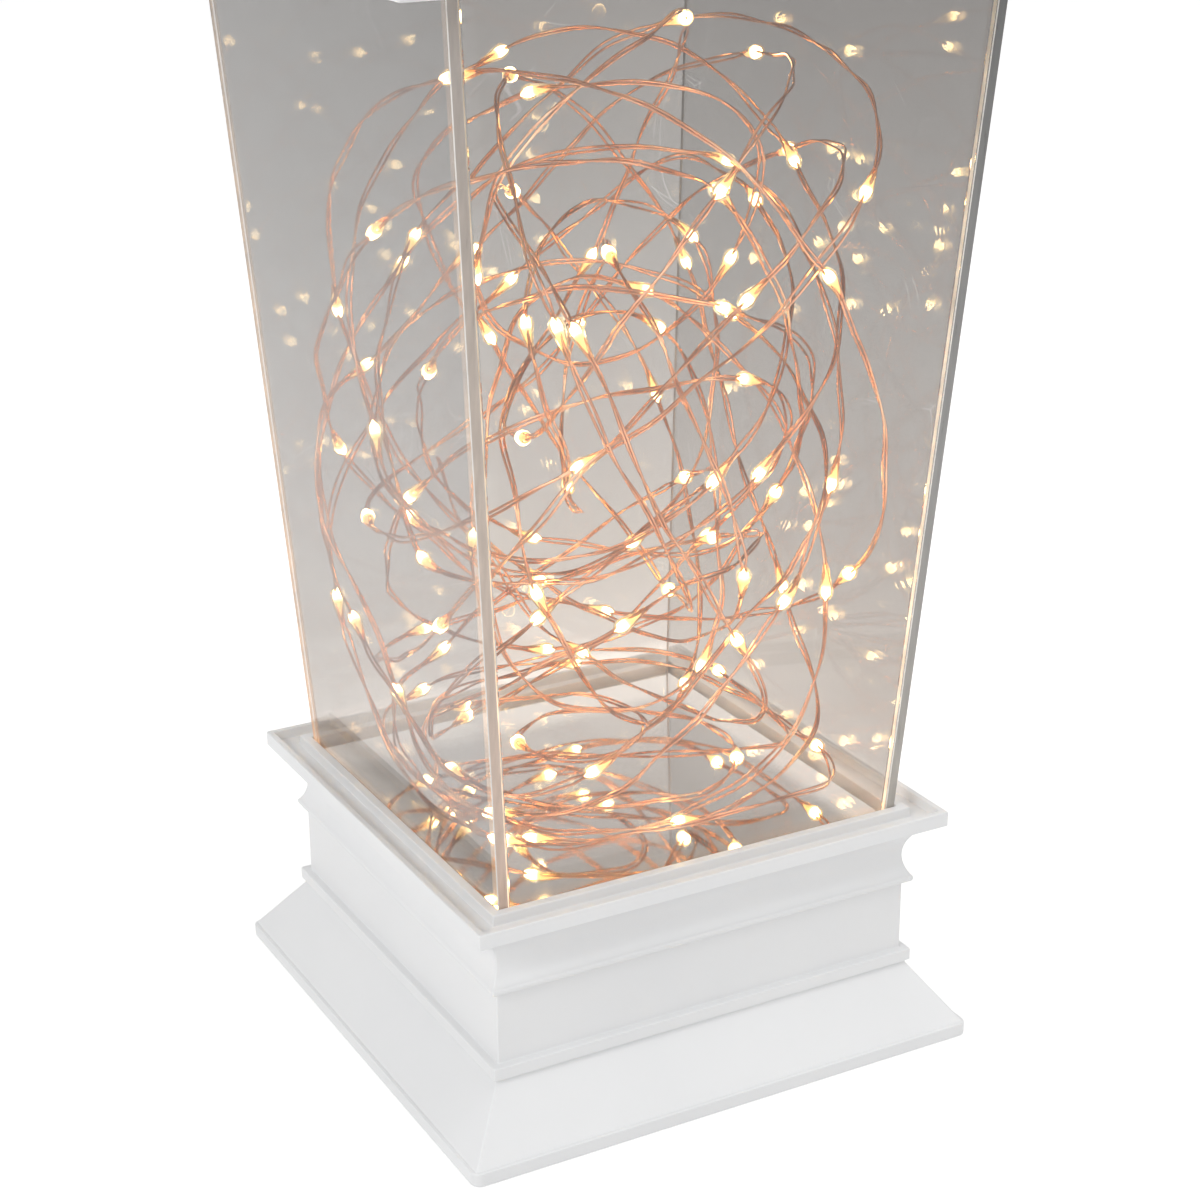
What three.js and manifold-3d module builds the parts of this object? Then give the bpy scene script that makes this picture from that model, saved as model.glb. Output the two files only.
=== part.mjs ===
// Tapered lantern: a square moulded plinth with a battery bay, four clear panels that lean outwards, a nest
// of lights on a mirror floor, and a hipped roof with a carrying ring.
// Millimetres, +Z up. The origin is the middle of the plinth's underside and the front faces -Y.
import * as THREE from 'three';
import { mergeVertices } from 'three/addons/utils/BufferGeometryUtils.js';
import Module from 'manifold-3d';

const wasm = await Module();
wasm.setup();

// Walls and fits
const wall = 2.5; // moulded shells
const fit = 0.3; // clearance between pieces that seat on or in each other
const runningFit = 0.4; // clearance round pieces that move

// Clear body, between the rim's top and the brim's underside
const bodyBottomWidth = 118;
const bodyFlare = 14.1; // how far each side leans out
const bodyHeight = 222.7;
const sheetThickness = 2.8;
const mirrorThickness = 2;

// Rim of the plinth, round the foot of the body
const innerLipWidth = 2.6;
const innerLipDraft = 0.35;
const rimGrooveWidth = 5.5;
const rimGrooveDepth = 2.7;
const rimLipWidth = 1.9;
const rimHeight = 4.2;
const deckDepth = 4.3; // from the rim's top down to the deck that the panels stand on

// Plinth below the rim, from the top down
const coveReach = 6; // rim beyond the upper bead
const coveHeight = 15.6;
const coveSag = 4.4;
const coveSetback = 0.6; // flat strips at both ends of the cove
const beadHeight = 2.1; // upper bead, with a rounded nose
const beadNose = 0.6;
const beadReach = 2.2; // beads beyond the frieze
const friezeHeight = 20.3;
const listelHeight = 3.5; // lower bead, a square fillet
const listelNeck = 0.7;
const skirtInset = 1.1; // skirt's top behind the lower bead
const skirtHeight = 16.1;
const skirtFlare = 11.8;
const plateReach = 1; // bottom plate beyond the skirt
const plateHeight = 3.8;
const plateCornerRadius = 2.5;

// Top frame and roof
const brimReach = 18.9; // brim beyond the body
const brimHeight = 5;
const channelDepth = 6;
const railWidth = 2.5;
const roofInset = 2.5; // roof's eaves behind the brim's edge
const roofLipHeight = 6;
const roofRise = 55;
const roofSag = 9;
const roofLedge = 4; // roof's flat top beyond the vent cap's neck
const roofScrewInset = 17.5; // from the rails

// Vent cap
const capNeckWidth = 42;
const capNeckHeight = 9;
const capCoveHeight = 6;
const capCoveSag = 1.6;
const capBrimReach = 5;
const capBrimHeight = 3.5;
const capHipHeight = 10;
const capTopWidth = 12;

// Lug and carrying ring
const lugFlangeRadius = 5;
const lugFlangeHeight = 1.6;
const lugStudRadius = 2;
const eyeWire = 3.6;
const ringWire = 4;
const ringSlack = 0.6; // round the ring's wire in the eye
const ringDiameter = 52; // outside
const nutAcross = 8;
const nutHeight = 3.5;
const studProjection = 5; // stud below the roof's deck

// Bottom cover and its screws
const coverRecess = 2.5; // cover's underside above the surface
const coverThickness = 3;
const coverLipWidth = 4.4; // plinth's foot outside the cover
const screwInset = 8.6; // from the plinth's inner walls
const screwRadius = 1.4;
const screwHeadRadius = 3.2;
const screwHeadHeight = 2;
const screwLength = 12;
const postRadius = 4;

// Battery bay: three cells side by side, their length along Y
const cellRadius = 7.1;
const cellLength = 50.5;
const cellBevel = 0.8;
const cellGap = 0.8;
const nubRadius = 2.7;
const nubHeight = 1.2;
const cellCount = 3;
const holderWall = 2;
const laneRibWidth = 1.5;
const laneRibHeight = 4.2;
const contactThickness = 0.5;
const contactWidth = 10;
const contactHeight = 9;
const contactBump = 0.8;
const contactTabWidth = 3;
const contactTabRise = 2; // solder tab above the holder
const springHeight = 4.2;
const springFootRadius = 4.2;
const springTipRadius = 2.6;
const springWire = 0.8;
const springTurns = 3;
const doorThickness = 2.4;
const doorPinRadius = 0.8;
const doorPinLength = 1.6;
const doorPinInset = 1.7; // pin axis from the door's end
const doorPinRaise = 0.2; // pin axis above the middle of the door's thickness
const doorEndGap = 0.8; // room for the end to turn
const doorTongueWidth = 14;
const doorTongueSlit = 1.2;
const doorTongueDepth = 9;
const thumbNotchRadius = 6;

// Slide switch, beside the bay
const switchOffset = -2; // from the board's middle line
const switchTravel = 2; // each way along Y
const knobWidth = 3.6;
const knobLength = 4;
const knobProud = 1.3; // knob below the cover
const knobFlange = 0.8;
const knobFlangeHeight = 1.4;
const switchWall = 1;
const switchHeight = 5;

// Timer board
const boardWidth = 24;
const boardLength = 42;
const boardThickness = 1.6;
const boardGap = 7.5; // from the battery holder
const boardY = 9;
const standoffRadius = 2.5;
const standoffSpacing = 16;
const standoffInset = 5;
const chipSize = [6, 8, 1.2];
const chipOffset = [-2, 5];

// Battery leads
const leadDiameter = 1.5;
const leadBend = 6;
const leadSteps = 16;
const leadSides = 8;
const negativeRoute = [[-22, -24], [-34, -14]];
const negativePad = [4, -13]; // from the board's middle
const positiveRoute = [[10, 24], [-8, 18], [-26, 10]];
const positivePad = [6, -5];

// Light string: twin wire as one round tube, loosely wound, with a droplet over each diode
const wireDiameter = 1.4;
const wireHoleRadius = 1.7;
const wireHoleOffset = [8, 13]; // from the board's middle
const stringLoops = 24;
const wireSides = 6;
const ledPitch = 100;
const dropletDiameter = 4.2;
const dropletLength = 10;
const dropletShoulder = 2.7; // widest place, from the droplet's blunt end
const nestFloorGap = 1.4;
const nestWallGap = 2.6;
const nestTopGap = 3.3;
const dropletMargin = 9; // straight wire after a droplet
const stringGap = 0.5; // least free space between strands
const settleMargin = 0.01;
const leadInReach = 22;
const leadInSteps = 7;

// Flat coil that the string starts with on the floor
const coilLoops = [2, 5]; // loops over which it opens into the nest
const coilRadius = 42;
const coilFoot = 3;
const coilRise = 3; // for each loop
const coilTilt = 0.1;

// Loose loops of the nest: lengths are how far each one wanders, angles are in radians
const loopRadiusGain = 18;
const loopRadiusSwing = 26;
const loopStretch = 0.18;
const loopStretchSwing = 0.29;
const loopTilt = 1;
const loopTiltSwing = 0.47;
const loopLevel = 99;
const loopLevelSwing = 64;
const loopDrift = 10; // of a loop's middle
const loopTurn = 0.875; // of a loop's heading, from one to the next
const loopTurnSwing = 1.36;
const bendAcross = 8.5;
const bendOut = 10;
const kinkOut = 2.7;

// Finishes
const whiteMoulding = { color: 0xe8eaec, roughness: 0.32, metalness: 0 };
const clearSheet = { color: 0xdfe3e2, roughness: 0.04, metalness: 0 };
const mirrorSheet = { color: 0xd5d3d0, roughness: 0.04, metalness: 1 };
const copper = { color: 0xc57f5e, roughness: 0.28, metalness: 1 };
const nickel = { color: 0xb9bab8, roughness: 0.3, metalness: 1 };
const paintedSteel = { color: 0xe6e7e8, roughness: 0.4, metalness: 0.2 };
const blackMoulding = { color: 0x1d1d1f, roughness: 0.5, metalness: 0 };
const cellJacket = { color: 0x3b4450, roughness: 0.35, metalness: 0.3 };
const boardLaminate = { color: 0x2f5d3a, roughness: 0.5, metalness: 0 };
const redInsulation = { color: 0xa8231c, roughness: 0.5, metalness: 0 };
const blackInsulation = { color: 0x222224, roughness: 0.5, metalness: 0 };

// Widths across the flats that the sizes above give
const bodyTopWidth = bodyBottomWidth + 2 * bodyFlare;
const rimWidth = bodyBottomWidth + 2 * (fit + innerLipWidth + rimGrooveWidth + rimLipWidth);
const beadWidth = rimWidth - 2 * coveReach;
const friezeWidth = beadWidth - 2 * beadReach;
const skirtTopWidth = beadWidth - 2 * skirtInset;
const skirtFootWidth = skirtTopWidth + 2 * skirtFlare;
const plateWidth = skirtFootWidth + 2 * plateReach;
const brimWidth = bodyTopWidth + 2 * brimReach;
const roofWidth = brimWidth - 2 * roofInset;
const roofTopWidth = capNeckWidth + 2 * roofLedge;
const capBrimWidth = capNeckWidth + 2 * capBrimReach;
const eyeBore = ringWire + 2 * ringSlack;

// Levels, half widths and places
const skirtFoot = plateHeight;
const skirtTop = skirtFoot + skirtHeight;
const listelFoot = skirtTop + listelNeck;
const friezeFoot = listelFoot + listelHeight;
const friezeTop = friezeFoot + friezeHeight;
const coveFoot = friezeTop + beadHeight;
const rimFoot = coveFoot + coveHeight;
const rimTop = rimFoot + rimHeight;
const deckTop = rimTop - deckDepth;
const deckFoot = deckTop - wall;
const cavityHalf = friezeWidth / 2 - wall;
const brimFoot = rimTop + bodyHeight;
const brimTop = brimFoot + brimHeight;
const webFoot = brimFoot + channelDepth;
const webTop = webFoot + wall;
const panelFoot = deckTop + fit;
const panelTop = webFoot - fit;
const taper = (bodyTopWidth - bodyBottomWidth) / 2 / bodyHeight;
const lean = Math.atan(taper);
const sheetAcross = sheetThickness / Math.cos(lean); // level thickness of a leaning sheet
const mirrorFoot = deckTop + fit;
const mirrorTop = mirrorFoot + mirrorThickness;
const nestHeight = brimFoot - nestTopGap - nestFloorGap - mirrorTop;
const coverFoot = coverRecess;
const coverTop = coverFoot + coverThickness;
const coverHalf = plateWidth / 2 - coverLipWidth - fit;
const screwSpacing = 2 * (cavityHalf - screwInset);
const roofFoot = brimTop + fit;
const roofEaves = roofFoot + roofLipHeight;
const roofTop = roofEaves + roofRise;
const capFoot = roofTop + fit;
const capBrimFoot = capFoot + capNeckHeight + capCoveHeight;
const capBrimTop = capBrimFoot + capBrimHeight;
const capTop = capBrimTop + capHipHeight;
const lugFoot = capTop + fit;
const eyeRadius = (eyeBore + eyeWire) / 2;
const eyeLevel = lugFoot + lugFlangeHeight + eyeRadius + eyeWire / 2;
const cellPitch = 2 * cellRadius + cellGap;
const bayHalfWidth = (cellCount * cellPitch) / 2;
const bayHalfLength = (cellLength + springHeight + contactBump) / 2 + contactThickness + 2 * fit;
const doorFoot = coverFoot;
const doorPinLevel = doorFoot + doorThickness / 2 + doorPinRaise;
const doorPinY = bayHalfLength - doorEndGap - doorPinInset;
const cellLevel = doorFoot + doorThickness + 2 * runningFit + cellRadius;
const holderFoot = coverTop + fit;
const holderCeiling = cellLevel + cellRadius + fit;
const holderTop = holderCeiling + holderWall;
const switchFoot = coverTop + fit;
const switchTop = switchFoot + switchHeight;
const boardFoot = switchTop + fit;
const boardTop = boardFoot + boardThickness;
const boardX = -(bayHalfWidth + holderWall + boardGap + boardWidth / 2);
const switchX = boardX + switchOffset;
const wireHole = [boardX + wireHoleOffset[0], boardY + wireHoleOffset[1]];
const railOuter = bodyBottomWidth / 2 + bodyFlare - sheetAcross - fit;
const roofScrewSpacing = 2 * (railOuter - railWidth - roofScrewInset);

// Outer half width of the clear body at a height
function bodyHalf(z) {
  return bodyBottomWidth / 2 + (z - rimTop) * taper;
}

// Solids for joining and cutting

function solidOf(geometry) {
  const bare = geometry.clone();
  bare.deleteAttribute('normal');
  bare.deleteAttribute('uv');
  const merged = mergeVertices(bare, 1e-4);
  const corners = merged.index.array;
  const triangles = [];
  for (let i = 0; i < corners.length; i += 3) {
    const [a, b, c] = corners.slice(i, i + 3);
    if (a !== b && b !== c && c !== a) triangles.push(a, b, c);
  }
  const vertProperties = new Float32Array(merged.attributes.position.array);
  const triVerts = new Uint32Array(triangles);
  return new wasm.Manifold(new wasm.Mesh({ numProp: 3, vertProperties, triVerts }));
}

function geometryOf(solid) {
  const mesh = solid.getMesh();
  const geometry = new THREE.BufferGeometry();
  geometry.setAttribute('position', new THREE.BufferAttribute(mesh.vertProperties, 3));
  geometry.setIndex(new THREE.BufferAttribute(mesh.triVerts, 1));
  geometry.computeVertexNormals();
  return geometry;
}

function join(...geometries) {
  return geometryOf(geometries.map(solidOf).reduce((whole, piece) => whole.add(piece)));
}

function cut(body, ...tools) {
  return geometryOf(tools.map(solidOf).reduce((rest, tool) => rest.subtract(tool), solidOf(body)));
}

function common(body, tool) {
  return geometryOf(solidOf(body).intersect(solidOf(tool)));
}

// Plain forms

function box(width, length, foot, top, x = 0, y = 0) {
  return new THREE.BoxGeometry(width, length, top - foot).translate(x, y, (foot + top) / 2);
}

function post(radius, foot, top, x = 0, y = 0, sides = 12) {
  const cylinder = new THREE.CylinderGeometry(radius, radius, top - foot, sides).rotateX(Math.PI / 2);
  return cylinder.translate(x, y, (foot + top) / 2);
}

// A round bar along X
function crossBar(radius, fromX, toX, y, z, sides = 12) {
  const cylinder = new THREE.CylinderGeometry(radius, radius, toX - fromX, sides).rotateZ(Math.PI / 2);
  return cylinder.translate((fromX + toX) / 2, y, z);
}

// A section of [half width, height] points turned into a four-sided form
function squareTurned(section) {
  const points = section.map(([half, z]) => new THREE.Vector2(half * Math.SQRT2, z));
  return new THREE.LatheGeometry(points, 4, Math.PI / 4).rotateX(Math.PI / 2);
}

// A section of [radius, height] points turned into a round form
function turned(section, sides = 16) {
  const points = section.map(([radius, z]) => new THREE.Vector2(radius, z));
  return new THREE.LatheGeometry(points, sides).rotateX(Math.PI / 2);
}

// Points of an arc from start to end that swells by sag to the left of the way from one to the other,
// or of the line that runs beside it, moved out by shift
function arc(start, end, sag, steps, shift = 0) {
  const along = new THREE.Vector2(end[0] - start[0], end[1] - start[1]);
  const chord = along.length();
  along.normalize();
  const radius = (chord * chord / 4 + sag * sag) / (2 * sag);
  const halfAngle = Math.asin(chord / (2 * radius));
  const points = [];
  for (let i = 0; i <= steps; i += 1) {
    const angle = halfAngle * (2 * i / steps - 1);
    const forward = chord / 2 + (radius + shift) * Math.sin(angle);
    const aside = (radius + shift) * Math.cos(angle) - radius + sag;
    const right = start[0] + along.x * forward - along.y * aside;
    const up = start[1] + along.y * forward + along.x * aside;
    points.push([right, up]);
  }
  return points;
}

// A closed tube along points, with a radius at each point
function tube(points, radii, sides) {
  const positions = [];
  const triangles = [];
  const count = points.length;
  let across = null;
  for (let i = 0; i < count; i += 1) {
    const before = points[Math.max(i - 1, 0)];
    const after = points[Math.min(i + 1, count - 1)];
    const along = after.clone().sub(before).normalize();
    const steep = Math.abs(along.z) > 0.9;
    const guess = across ?? (steep ? new THREE.Vector3(1, 0, 0) : new THREE.Vector3(0, 0, 1));
    across = guess.clone().addScaledVector(along, -guess.dot(along)).normalize();
    const other = along.clone().cross(across);
    for (let k = 0; k < sides; k += 1) {
      const angle = (2 * Math.PI * k) / sides;
      const corner = points[i].clone().addScaledVector(across, radii[i] * Math.cos(angle));
      positions.push(...corner.addScaledVector(other, radii[i] * Math.sin(angle)).toArray());
    }
  }
  for (let i = 0; i < count - 1; i += 1) {
    for (let k = 0; k < sides; k += 1) {
      const here = i * sides + k;
      const next = i * sides + (k + 1) % sides;
      triangles.push(here, next, here + sides, next, next + sides, here + sides);
    }
  }
  const lastRing = (count - 1) * sides;
  for (let k = 1; k < sides - 1; k += 1) {
    triangles.push(0, k + 1, k, lastRing, lastRing + k, lastRing + k + 1);
  }
  const geometry = new THREE.BufferGeometry();
  geometry.setAttribute('position', new THREE.Float32BufferAttribute(positions, 3));
  geometry.setIndex(triangles);
  geometry.computeVertexNormals();
  return geometry;
}

// The four places of a square pattern
function fourCorners(spacing) {
  return [[-1, -1], [1, -1], [1, 1], [-1, 1]].map(([x, y]) => [x * spacing / 2, y * spacing / 2]);
}

// Plinth and cover

function plinthSection() {
  const footHalf = plateWidth / 2 - coverLipWidth;
  const skirtLean = Math.atan((skirtFootWidth - skirtTopWidth) / 2 / skirtHeight);
  const skirtAcross = wall / Math.cos(skirtLean);
  const skirtRun = (skirtFootWidth - skirtTopWidth) / 2 / skirtHeight;
  const insideAtCover = skirtFootWidth / 2 - (coverTop + fit - skirtFoot) * skirtRun - skirtAcross;
  const insideKnee = coverTop + fit + (insideAtCover - cavityHalf) / skirtRun;
  const lipInner = bodyHalf(rimTop) + fit;
  const lipOuter = lipInner + innerLipWidth;
  const noseFoot = beadWidth / 2 - beadNose;
  const coveStart = [beadWidth / 2 - coveSetback, coveFoot];
  const coveEnd = [rimWidth / 2 - coveSetback, rimFoot];
  return [
    [0, deckFoot],
    [cavityHalf, deckFoot],
    [cavityHalf, insideKnee],
    [insideAtCover, coverTop + fit],
    [footHalf, coverTop + fit],
    [footHalf, 0],
    [plateWidth / 2, 0],
    [plateWidth / 2, plateHeight],
    [skirtFootWidth / 2, skirtFoot],
    [skirtTopWidth / 2, skirtTop],
    [skirtTopWidth / 2, listelFoot],
    [beadWidth / 2, listelFoot],
    [beadWidth / 2, friezeFoot],
    [friezeWidth / 2, friezeFoot],
    [friezeWidth / 2, friezeTop],
    ...arc([noseFoot, friezeTop], [noseFoot, coveFoot], -beadNose, 6),
    ...arc(coveStart, coveEnd, coveSag, 14),
    [rimWidth / 2, rimFoot],
    [rimWidth / 2, rimTop],
    [rimWidth / 2 - rimLipWidth, rimTop],
    [rimWidth / 2 - rimLipWidth, rimTop - rimGrooveDepth],
    [lipOuter + innerLipDraft, rimTop - rimGrooveDepth],
    [lipOuter, rimTop],
    [lipInner, rimTop],
    [lipInner, deckTop],
    [0, deckTop],
  ];
}

// A square outline with rounded corners
function roundedSquare(half, radius) {
  const outline = new THREE.Shape();
  const flat = half - radius;
  outline.absarc(flat, flat, radius, 0, Math.PI / 2, false);
  outline.absarc(-flat, flat, radius, Math.PI / 2, Math.PI, false);
  outline.absarc(-flat, -flat, radius, Math.PI, 1.5 * Math.PI, false);
  outline.absarc(flat, -flat, radius, 1.5 * Math.PI, 2 * Math.PI, false);
  return outline;
}

function extruded(shape, foot, top, curveSegments = 4) {
  const settings = { depth: top - foot, bevelEnabled: false, curveSegments };
  return new THREE.ExtrudeGeometry(shape, settings).translate(0, 0, foot);
}

function basePlinth() {
  const corners = extruded(roundedSquare(plateWidth / 2, plateCornerRadius), -wall, rimTop + wall);
  const shell = common(squareTurned(plinthSection()), corners);
  const places = fourCorners(screwSpacing);
  const posts = places.map(([x, y]) => post(postRadius, coverTop + fit, deckTop - wall / 2, x, y));
  const pilotTop = coverFoot + screwLength + wall;
  const pilots = places.map(([x, y]) => post(screwRadius + fit, 0, pilotTop, x, y));
  const hole = post(wireHoleRadius, deckFoot - wall, rimTop, ...wireHole);
  return cut(join(shell, ...posts), ...pilots, hole);
}

function bottomCover() {
  const plate = extruded(roundedSquare(coverHalf, plateCornerRadius), coverFoot, coverTop);
  const standoffY = boardY + boardLength / 2 - standoffInset;
  const standoffs = [-1, 1].map((side) => {
    const x = boardX + side * standoffSpacing / 2;
    return post(standoffRadius, coverTop - wall / 2, boardFoot - fit, x, standoffY);
  });
  const bay = box(2 * bayHalfWidth, 2 * bayHalfLength, 0, coverTop + wall);
  const thumbNotch = post(thumbNotchRadius, 0, coverFoot + doorThickness / 2, 0, -bayHalfLength, 20);
  const socketEnd = bayHalfWidth - runningFit + doorPinLength + runningFit;
  const socket = crossBar(doorPinRadius + fit, -socketEnd, socketEnd, doorPinY, doorPinLevel);
  const slotWidth = knobWidth + 2 * runningFit;
  const slotLength = knobLength + 2 * switchTravel + 2 * runningFit;
  const slot = box(slotWidth, slotLength, 0, coverTop + fit / 2, switchX);
  const screwHoles = fourCorners(screwSpacing).map(([x, y]) => {
    const neck = coverFoot + screwHeadHeight;
    const sink = [[0, 0], [screwHeadRadius + fit, 0], [screwHeadRadius + fit, coverFoot],
      [screwRadius + fit, neck], [screwRadius + fit, coverTop + wall], [0, coverTop + wall]];
    return turned(sink, 14).translate(x, y, 0);
  });
  return cut(join(plate, ...standoffs), bay, thumbNotch, socket, slot, ...screwHoles);
}

// A screw that stands on its head, countersunk or with a pan head
function screw(headFoot, countersunk) {
  const neck = headFoot + screwHeadHeight;
  const tip = headFoot + screwLength;
  const bevel = screwHeadHeight / 2;
  const crown = [screwHeadRadius - bevel, headFoot];
  const panHead = [crown, [screwHeadRadius, headFoot + bevel], [screwHeadRadius, neck]];
  const head = countersunk ? [[screwHeadRadius, headFoot]] : panHead;
  const shank = [[screwRadius, neck], [screwRadius, tip - screwRadius], [0, tip]];
  return turned([[0, headFoot], ...head, ...shank], 12);
}

// Battery bay

function batteryHolder() {
  const halfWidth = bayHalfWidth + holderWall;
  const halfLength = bayHalfLength + holderWall;
  const shell = box(2 * halfWidth, 2 * halfLength, holderFoot, holderTop);
  const cavity = box(2 * bayHalfWidth, 2 * bayHalfLength, holderFoot - wall, holderCeiling);
  const ribs = [];
  const ribFoot = holderCeiling - laneRibHeight;
  const ribTop = holderCeiling + holderWall / 2;
  for (let lane = 1; lane < cellCount; lane += 1) {
    const x = lane * cellPitch - bayHalfWidth;
    ribs.push(box(laneRibWidth, cellLength - 2 * wall, ribFoot, ribTop, x));
  }
  const slotWidth = contactTabWidth + 2 * fit;
  const slotLength = contactThickness + 2 * fit;
  const tabSlots = [contactTab(0, -1), contactTab(cellCount - 1, 1)].map(([x, y]) => {
    return box(slotWidth, slotLength, holderCeiling - wall, holderTop + wall, x, y);
  });
  return cut(join(cut(shell, cavity), ...ribs), ...tabSlots);
}

function laneX(lane) {
  return (lane - (cellCount - 1) / 2) * cellPitch;
}

// Middle of the contact plate at one end of a lane
function contactTab(lane, end) {
  return [laneX(lane), end * (bayHalfLength - fit - contactThickness / 2)];
}

// Cells point backwards and forwards in turn
function cellDirection(lane) {
  return lane % 2 === 0 ? 1 : -1;
}

function cell() {
  const negative = -cellLength / 2;
  const shoulder = cellLength / 2 - nubHeight;
  const form = turned([[0, negative], [cellRadius - cellBevel, negative], [cellRadius, negative + cellBevel],
    [cellRadius, shoulder - cellBevel], [cellRadius - cellBevel, shoulder], [nubRadius, shoulder],
    [nubRadius, cellLength / 2], [0, cellLength / 2]], 18);
  return form.rotateX(-Math.PI / 2);
}

// The cell's middle along its lane, with the spring at its flat end and the bump at its nub
function cellY(lane) {
  const plateFace = bayHalfLength - fit - contactThickness;
  return cellDirection(lane) * (plateFace - contactBump - fit - cellLength / 2);
}

// A conical spring that stands on the XY plane
function conicalSpring() {
  const stepsPerTurn = 8;
  const count = springTurns * stepsPerTurn;
  const points = [];
  for (let i = 0; i <= count; i += 1) {
    const share = i / count;
    const angle = 2 * Math.PI * springTurns * share;
    const radius = THREE.MathUtils.lerp(springFootRadius, springTipRadius, share);
    const height = THREE.MathUtils.lerp(springWire / 4, springHeight - springWire / 2, share);
    points.push(new THREE.Vector3(radius * Math.cos(angle), radius * Math.sin(angle), height));
  }
  return tube(points, points.map(() => springWire / 2), 5);
}

// One sprung or flat contact face per lane on a common plate, at one end of the bay
function contact(lanes, end, withTab) {
  const middle = (laneX(lanes[0]) + laneX(lanes[lanes.length - 1])) / 2;
  const width = contactWidth + (lanes.length - 1) * cellPitch;
  const plateY = contactTab(lanes[0], end)[1];
  const foot = cellLevel - contactHeight / 2;
  const pieces = [box(width, contactThickness, foot, foot + contactHeight, middle, plateY)];
  if (withTab) {
    const tabTop = holderTop + contactTabRise;
    pieces.push(box(contactTabWidth, contactThickness, cellLevel, tabTop, laneX(lanes[0]), plateY));
  }
  for (const lane of lanes) {
    const touchesNub = cellDirection(lane) === end;
    const face = touchesNub ? post(nubRadius, -contactThickness / 2, contactBump) : conicalSpring();
    face.rotateX(end * Math.PI / 2).translate(laneX(lane), plateY - end * contactThickness / 2, cellLevel);
    pieces.push(face);
  }
  return join(...pieces);
}

function batteryDoor() {
  const halfWidth = bayHalfWidth - runningFit;
  const front = runningFit - bayHalfLength;
  const back = bayHalfLength - doorEndGap;
  const doorTop = doorFoot + doorThickness;
  const plate = box(2 * halfWidth, back - front, doorFoot, doorTop, 0, (front + back) / 2);
  const pins = [-1, 1].map((side) => {
    const ends = [side * (halfWidth - wall), side * (halfWidth + doorPinLength)].sort((a, b) => a - b);
    return crossBar(doorPinRadius, ...ends, doorPinY, doorPinLevel);
  });
  const slitY = front + doorTongueDepth / 2 - wall / 2;
  const slits = [-1, 1].map((side) => {
    const x = side * (doorTongueWidth + doorTongueSlit) / 2;
    return box(doorTongueSlit, doorTongueDepth + wall, 0, doorTop + wall, x, slitY);
  });
  return cut(join(plate, ...pins), ...slits);
}

// Switch, board and leads

function switchHousing() {
  const width = knobWidth + 2 * (knobFlange + runningFit + switchWall);
  const length = knobLength + 2 * (knobFlange + switchTravel + runningFit + switchWall);
  const shell = box(width, length, switchFoot, switchTop, switchX);
  const ceiling = switchTop - switchWall;
  const cavity = box(width - 2 * switchWall, length - 2 * switchWall, switchFoot - wall, ceiling, switchX);
  return cut(shell, cavity);
}

function switchKnob() {
  const flangeFoot = coverTop + fit;
  const stem = box(knobWidth, knobLength, coverFoot - knobProud, flangeFoot + knobFlangeHeight / 2, switchX);
  const flangeWidth = knobWidth + 2 * knobFlange;
  const flangeLength = knobLength + 2 * knobFlange;
  const flange = box(flangeWidth, flangeLength, flangeFoot, flangeFoot + knobFlangeHeight, switchX);
  return join(stem, flange);
}

function timerBoard() {
  const board = box(boardWidth, boardLength, boardFoot, boardTop, boardX, boardY);
  const [chipWidth, chipLength, chipHeight] = chipSize;
  const chip = box(chipWidth, chipLength, boardTop - boardThickness / 2, boardTop + chipHeight);
  return join(board, chip.translate(boardX + chipOffset[0], boardY + chipOffset[1], 0));
}

// A battery lead from a solder tab, over the holder and down to the board
function batteryLead(tab, over, padOffset) {
  const tabEnd = holderTop + contactTabRise + fit;
  const boardEnd = boardTop + fit;
  const pad = [boardX + padOffset[0], boardY + padOffset[1]];
  const route = new THREE.CatmullRomCurve3([
    new THREE.Vector3(...tab, tabEnd),
    new THREE.Vector3(...tab, tabEnd + leadBend / 2),
    ...over.map(([x, y]) => new THREE.Vector3(x, y, tabEnd + leadBend)),
    new THREE.Vector3(...pad, boardEnd + leadBend),
    new THREE.Vector3(...pad, boardEnd),
  ]);
  const points = route.getPoints(leadSteps);
  return tube(points, points.map(() => leadDiameter / 2), leadSides);
}

// Clear body

// A trapezium sheet, stood up and leaned outwards at the front (-Y) side
function panel(sideInset) {
  const height = (panelTop - panelFoot) / Math.cos(lean);
  const footHalf = bodyHalf(panelFoot) - sideInset;
  const topHalf = bodyHalf(panelTop) - sideInset;
  const outline = new THREE.Shape();
  outline.moveTo(-footHalf, 0);
  outline.lineTo(footHalf, 0);
  outline.lineTo(topHalf, height);
  outline.lineTo(-topHalf, height);
  const sheet = new THREE.ExtrudeGeometry(outline, { depth: sheetThickness, bevelEnabled: false });
  sheet.rotateX(Math.PI / 2 + lean);
  const inner = sheetThickness * Math.cos(lean) - bodyHalf(panelFoot);
  return sheet.translate(0, inner, panelFoot + sheetThickness * Math.sin(lean));
}

function mirrorFloor() {
  const half = bodyHalf(panelFoot) - sheetAcross - fit;
  const plate = box(2 * half, 2 * half, mirrorFoot, mirrorTop);
  return cut(plate, post(wireHoleRadius, mirrorFoot - wall, mirrorTop + wall, ...wireHole));
}

// Light string

// A slow, uneven swing between -1 and 1 that never repeats from loop to loop
function wander(turn, rate, start) {
  return 0.6 * Math.sin(rate * turn + start) + 0.4 * Math.sin(1.7 * rate * turn + 2.3 * start + 1);
}

// A value held inside a limit, with a soft approach to it
function held(value, limit) {
  return value / (1 + Math.abs(value / limit) ** 8) ** (1 / 8);
}

// Room between the middle and the panels at a height
function nestRoom(z) {
  return bodyHalf(z) - sheetAcross - nestWallGap;
}

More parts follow.
